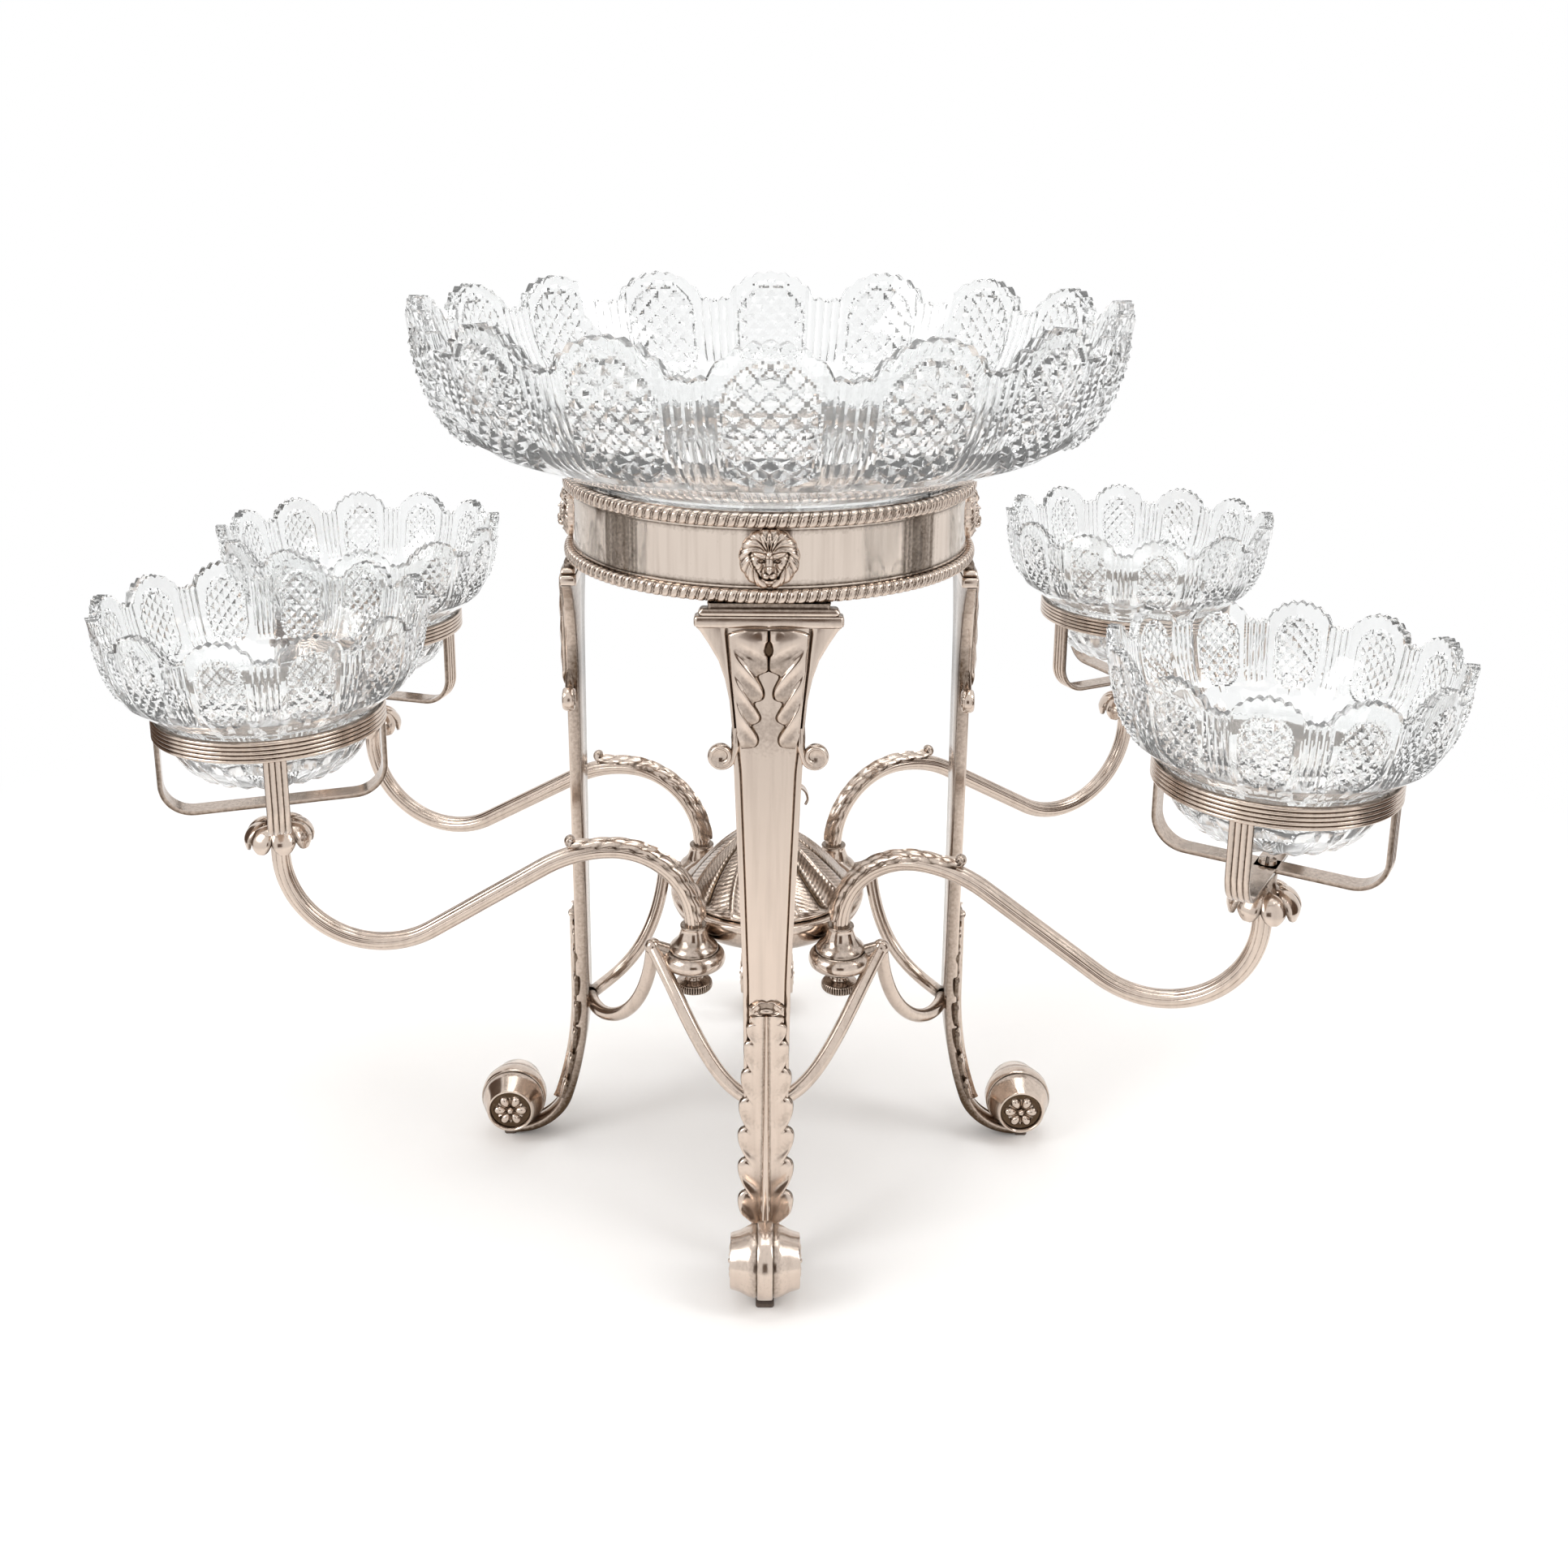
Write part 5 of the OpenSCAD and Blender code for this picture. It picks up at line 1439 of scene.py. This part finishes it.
# %% [markdown]
# ### Calyx
# Under the bowl the tube ends in a calyx: eight spoon-shaped petals droop round a turned stem. They
# were cast. A petal could be a stretched ball; a net along its path is used, with an outer and an
# inner skin, so that its edge stays thin. Every other petal sits a little higher.

# %% Calyx
petal_turns = np.arange(8) * 45.0 + 22.5


def calyx_petal():
    line = [(3.4, 7.2), (6.2, 6.8), (9.6, 5.0), (12.0, 1.6), (12.7, -2.2)]
    path = evenly(smooth(line, 120), 26) + np.array([0, arm_end])
    t = np.linspace(0, 1, 26)[:, None]
    f = np.linspace(-1, 1, 17)[None, :]
    half = 4.1 * hump(((t - 0.6) / 0.42) ** 2) + 0.9 * unit((0.5 - t) / 0.3) + 0.15
    full = np.clip(np.sin(np.pi * np.clip(t, 0.05, 0.98)) ** 0.5, 0.1, 1)
    swell = 1.9 * np.sqrt(unit(1.01 - f**2)) * full
    skin = np.concatenate([swell, swell[:, ::-1] - 0.7], axis=1) - 1.6
    x, z = beside(path, skin)
    y = half * np.concatenate([f, f[:, ::-1]], axis=1)
    edge = np.concatenate([np.abs(f) ** 8, np.ones_like(f)], axis=1)
    return tube(np.stack([x, y, z], -1), 0.75 * edge + 0.35 * unit(0.3 - t))


stem_line = [(5.4, 0.4), (6.6, 2.2), (6.2, 4.4), (4.6, 6.4), (3.55, 8), (3.5, 12.6), (2.5, 12.7)]
stem = lathe(stem_line, arm_end, 40, 48, [(0, 0.7), (5, 0.6), (8, 0.5), (13, 0.3)])
petals = []
for turn in petal_turns:
    lift = Matrix.Translation((0, 0, 0.25 * (turn % 90 > 45)))
    petals.append(moved(calyx_petal(), lift @ Matrix.Rotation(math.radians(turn), 4, "Z")))
part = moved(joined(stem, *petals), Matrix.Translation((arm_l, 0, 0)))
on_each_arm("calyx_petals_", mesh_of("petal_calyx", part, silver, 60), "arm_", "calyx_")
print("calyx:", len(petals), "petals")

# %% [markdown]
# ### Holder screws
# A domed screw with a slot holds the crossed straps of the holder on the arm. The slot could be a
# boolean cut; the turned head is simply lowered along a strip.

# %% Holder screws
holder_z = 160.0
head_r = 3.05
out = np.linspace(0, 1, 16)[:, None]
x = head_r * out * np.cos(circle(96))
y = head_r * out * np.sin(circle(96))
slot = np.abs(x) < 0.42
height = np.where(slot, 0.75, 0.9 + 0.65 * hump(out**2 * 0.9)) * unit((1 - out) / 0.02)
points = np.stack([x + arm_l, y, holder_z + 1.1 + height], -1)
head = mesh_of("slotted_screw", tube(points, np.where(slot, 1.0, 0.35), capped=False), silver, 30)
on_each_arm("slotted_screw_", head, "arm_", "holder_screw_")
print("screw heads:", 2 * head_r, "mm across")

# %% [markdown]
# ### Bowl holders
# A holder is a reeded hoop on two crossed U-shaped straps, drawn through a die so that the reeds run
# along them. The reeds could be a bump map, but they show at the outline of the hoop. A strap's
# section is a row of round reeds on the outside and flat on the inside.

# %% Holders
holder_h = 7.4
holder_w = 7.6
hoop_reeds = 5
strap_reeds = 4
holder_low = holder_top - holder_h


def reeding(share, count):
    """Round reeds side by side: 1 on the top of each, 0 between two; share runs from 0 to 1."""
    return np.abs(np.sin(np.pi * count * share)) ** 0.6


def hoop():
    share = np.linspace(0, 1, hoop_reeds * 10 + 1)
    wave = reeding(share, hoop_reeds)
    outside = np.column_stack([holder_r + 1.35 + 0.75 * wave, holder_low + holder_h * share])
    inside = [(holder_r + 0.1, holder_top - 0.02), (holder_r + 0.1, holder_low + 0.02)]
    line = np.vstack([outside, inside, outside[:1]])
    shade = np.concatenate([0.9 * (1 - wave), [0.5, 0.5, 0.5]])[:, None]
    return tube(turned(line[:, 0], line[:, 1], circle(160)), shade, capped=False)


def holder_strap():
    corner_r = 11.0
    wide = holder_r + 0.5
    bend = arc((wide - corner_r, holder_z + corner_r), corner_r, 0, -90, 20)
    right = np.vstack([[(wide, holder_low + 1.5)], bend])
    path = evenly(np.vstack([right, right[::-1] * np.array([-1, 1])]), 120)
    f = np.linspace(-1, 1, strap_reeds * 8 + 1)
    wave = reeding((f + 1) / 2, strap_reeds)
    x, z = beside(path, np.concatenate([0.45 + 0.45 * wave, [-0.85, -0.85]]))
    y = np.broadcast_to(np.concatenate([f, [0.98, -0.98]]) * holder_w / 2, x.shape)
    return tube(np.stack([x, y, z], -1), np.concatenate([0.85 * (1 - wave), [0.3, 0.3]]))


crossing = Matrix.Rotation(math.radians(90), 4, "Z")
part = joined(hoop(), holder_strap(), moved(holder_strap(), crossing))
holder_mesh = mesh_of("reeded_holder", part, silver, 50)
holder_set = {"fl": 16, "fr": -9, "br": 0, "bl": 0}
for corner, degrees in holder_set.items():
    place = arm_place[corner] @ bowl_out @ Matrix.Rotation(math.radians(degrees), 4, "Z")
    piece("reeded_holder_" + corner, holder_mesh, place, "holder_" + corner, "holder_" + corner)
print("pieces in place:", len(pieces))

# %% [markdown]
# ## Stage
# The object stands on white paper. A white picture could come from more light, but that would bleach
# the silver. So the paper turns plain white away from the object, and only for rays from the camera,
# off metal and through glass. Near the object it stays paper and keeps the shadow.

# %% Floor
scene = bpy.context.scene
scene.view_settings.view_transform = "Standard"


def seen_rays(tree):
    """1 for rays from the camera, off metal and through glass; 0 for those that light a dull surface."""
    rays = add(tree, "ShaderNodeLightPath").outputs
    direct = add(tree, "ShaderNodeMath", {"operation": "MAXIMUM"},
                 links={0: rays["Is Camera Ray"], 1: rays["Is Glossy Ray"]})
    return add(tree, "ShaderNodeMath", {"operation": "MAXIMUM"},
               links={0: direct.outputs[0], 1: rays["Is Transmission Ray"]}).outputs[0]


def white_floor():
    """Smooth coated paper: even and dull, and too fine in its grain to need a pattern."""
    material, tree = fresh("white_paper_floor")
    place = add(tree, "ShaderNodeTexCoord")
    length = add(tree, "ShaderNodeVectorMath", {"operation": "LENGTH"}, links={0: place.outputs["Object"]})
    # Within 0.2 m of the middle it is only paper, and from 0.6 m on it is plain white.
    far = add(tree, "ShaderNodeMapRange", {"interpolation_type": "SMOOTHSTEP"},
              {"From Min": 0.2, "From Max": 0.6}, {"Value": length.outputs["Value"]})
    share = add(tree, "ShaderNodeMath", {"operation": "MULTIPLY"},
                links={0: far.outputs[0], 1: seen_rays(tree)})
    paper = add(tree, "ShaderNodeBsdfDiffuse", values={"Color": linear("#FAFAFA")})
    white = add(tree, "ShaderNodeEmission", values={"Strength": 1.0})
    mix = add(tree, "ShaderNodeMixShader",
              links={0: share.outputs[0], 1: paper.outputs[0], 2: white.outputs[0]})
    add(tree, "ShaderNodeOutputMaterial", links={"Surface": mix.outputs[0]})
    return material


def flat_mesh(name, corners, material):
    """A mesh of one four-sided face; its corners are metres."""
    mesh = bpy.data.meshes.new(name)
    mesh.from_pydata(corners, [], [(0, 1, 2, 3)])
    mesh.materials.append(material)
    return mesh


half = 4.0
corners = [(-half, -half, 0), (half, -half, 0), (half, half, 0), (-half, half, 0)]
floor = bpy.data.objects.new("floor", flat_mesh("floor", corners, white_floor()))
scene.collection.objects.link(floor)
print("floor:", 2 * half, "m wide")

# %% [markdown]
# ### Light tent
# Small silver is photographed in a tent of white cloth. Cloth could be modelled, but only its light
# is needed, so the world stands for it: plain white where it is seen, and a little warmer and darker
# where it lights a dull surface.

# %% Light tent


def light_tent():
    world = bpy.data.worlds.new("light_tent")
    world.use_nodes = True
    tree = world.node_tree
    tree.nodes.clear()
    cloth = add(tree, "ShaderNodeMix", {"data_type": "RGBA"},
                {6: linear("#E9E5E1"), 7: linear("#FFFFFF")}, {0: seen_rays(tree)})
    glow = add(tree, "ShaderNodeBackground", values={"Strength": 1.0}, links={"Color": cloth.outputs[2]})
    add(tree, "ShaderNodeOutputWorld", links={"Surface": glow.outputs[0]})
    return world


scene.world = light_tent()
print("world:", scene.world.name)

# %% [markdown]
# ### Lamps
# Three soft boxes stand outside the tent: the strongest on the left, one on the right and one above.
# Spots would draw hard edges, so they are area lamps, large enough for soft shadows.

# %% Lamps
aim = Vector((0, 0, 0.2))


def softbox(name, place, size, watts):
    """A rectangular lamp that looks at the middle of the stand."""
    lamp = bpy.data.lights.new(name, "AREA")
    lamp.shape = "RECTANGLE"
    lamp.size, lamp.size_y = size
    lamp.energy = watts
    obj = bpy.data.objects.new(name, lamp)
    obj.location = place
    obj.rotation_euler = (aim - Vector(place)).to_track_quat("-Z", "Y").to_euler()
    scene.collection.objects.link(obj)


softbox("soft_left", (-1.3, -0.7, 1.1), (0.7, 1.0), 11)
softbox("soft_right", (1.3, -0.5, 1.2), (0.5, 1.0), 8)
softbox("soft_top", (0.0, 0.2, 1.7), (1.2, 1.0), 10)
print("lamps:", len(bpy.data.lights))

# %% [markdown]
# ### Dark cards
# A photographer stands dark cards beside polished silver, out of the picture, because a mirror-like
# hoop needs something dark to show. Dark bands could be painted on the hoop, but they would not move
# with the eye. The cards are boards that only reflections can see.

# %% Cards


def brown_board():
    """Grey-brown board of pulped paper: dull and dark, so that it shows as a deep band in the silver."""
    material, tree = fresh("brown_pulp_board")
    place = add(tree, "ShaderNodeTexCoord")
    # Flecks in such board are about a millimetre; these are as coarse as they need to show.
    fleck_mm = 15.0
    flecks = add(tree, "ShaderNodeTexNoise", values={"Scale": 1000 / fleck_mm, "Detail": 3.0},
                 links={"Vector": place.outputs["Object"]})
    colour = add(tree, "ShaderNodeMix", {"data_type": "RGBA"},
                 {6: linear("#2E221A"), 7: linear("#6A5444")}, {0: flecks.outputs["Fac"]})
    pulp = add(tree, "ShaderNodeBsdfPrincipled", values={"Roughness": 0.9},
               links={"Base Color": colour.outputs[2]})
    add(tree, "ShaderNodeOutputMaterial", links={"Surface": pulp.outputs[0]})
    return material


board = brown_board()


def dark_card(name, turn, half_turn, distance, top):
    """A board that faces the axis, turned to the right of the front by some degrees."""
    half = distance * math.tan(math.radians(half_turn))
    low = 0.01
    spots = ((-half, low), (half, low), (half, top), (-half, top))
    corners = [(across, -distance, up) for across, up in spots]
    obj = bpy.data.objects.new(name, flat_mesh(name, corners, board))
    obj.matrix_world = placed(turn=turn)
    obj.visible_camera = False
    obj.visible_diffuse = False
    obj.visible_shadow = False
    obj.visible_transmission = False
    scene.collection.objects.link(obj)


card_r = 0.5
dark_card("card_left", -102, 19, card_r, 0.45)
dark_card("card_right", 74, 15, card_r, 0.45)
dark_card("card_front", 0, 12, 2 * card_r, 0.5)
print("cards stand", card_r, "m from the axis")

# %% [markdown]
# ## Camera
# The camera stands where the photograph was taken: a little above the large bowl, looking down by
# about 15 degrees. It was fitted to the ring, the feet and the rims in the picture, which is surer
# than moving it by eye. The small shift is there because the picture was cut below its middle.

# %% Camera
camera_data = bpy.data.cameras.new("camera")
camera_data.sensor_width = 36.0
camera_data.lens = 37.89
camera_data.shift_y = -0.1294
camera_data.clip_start = 0.01
camera = bpy.data.objects.new("camera", camera_data)
eye = Vector((axis[0] * MM, (axis[1] - 590.06) * MM, 0.3898))
pitch = math.radians(15.05)
yaw = math.radians(0.53)
roll = math.radians(0.49)
forward = Vector((math.sin(yaw) * math.cos(pitch), math.cos(yaw) * math.cos(pitch), -math.sin(pitch)))
aimed = forward.to_track_quat("-Z", "Y").to_matrix().to_4x4()
camera.matrix_world = Matrix.Translation(eye) @ aimed @ Matrix.Rotation(roll, 4, "Z")
scene.collection.objects.link(camera)
scene.camera = camera
print("camera:", round(-eye.y, 3), "m in front of the axis")
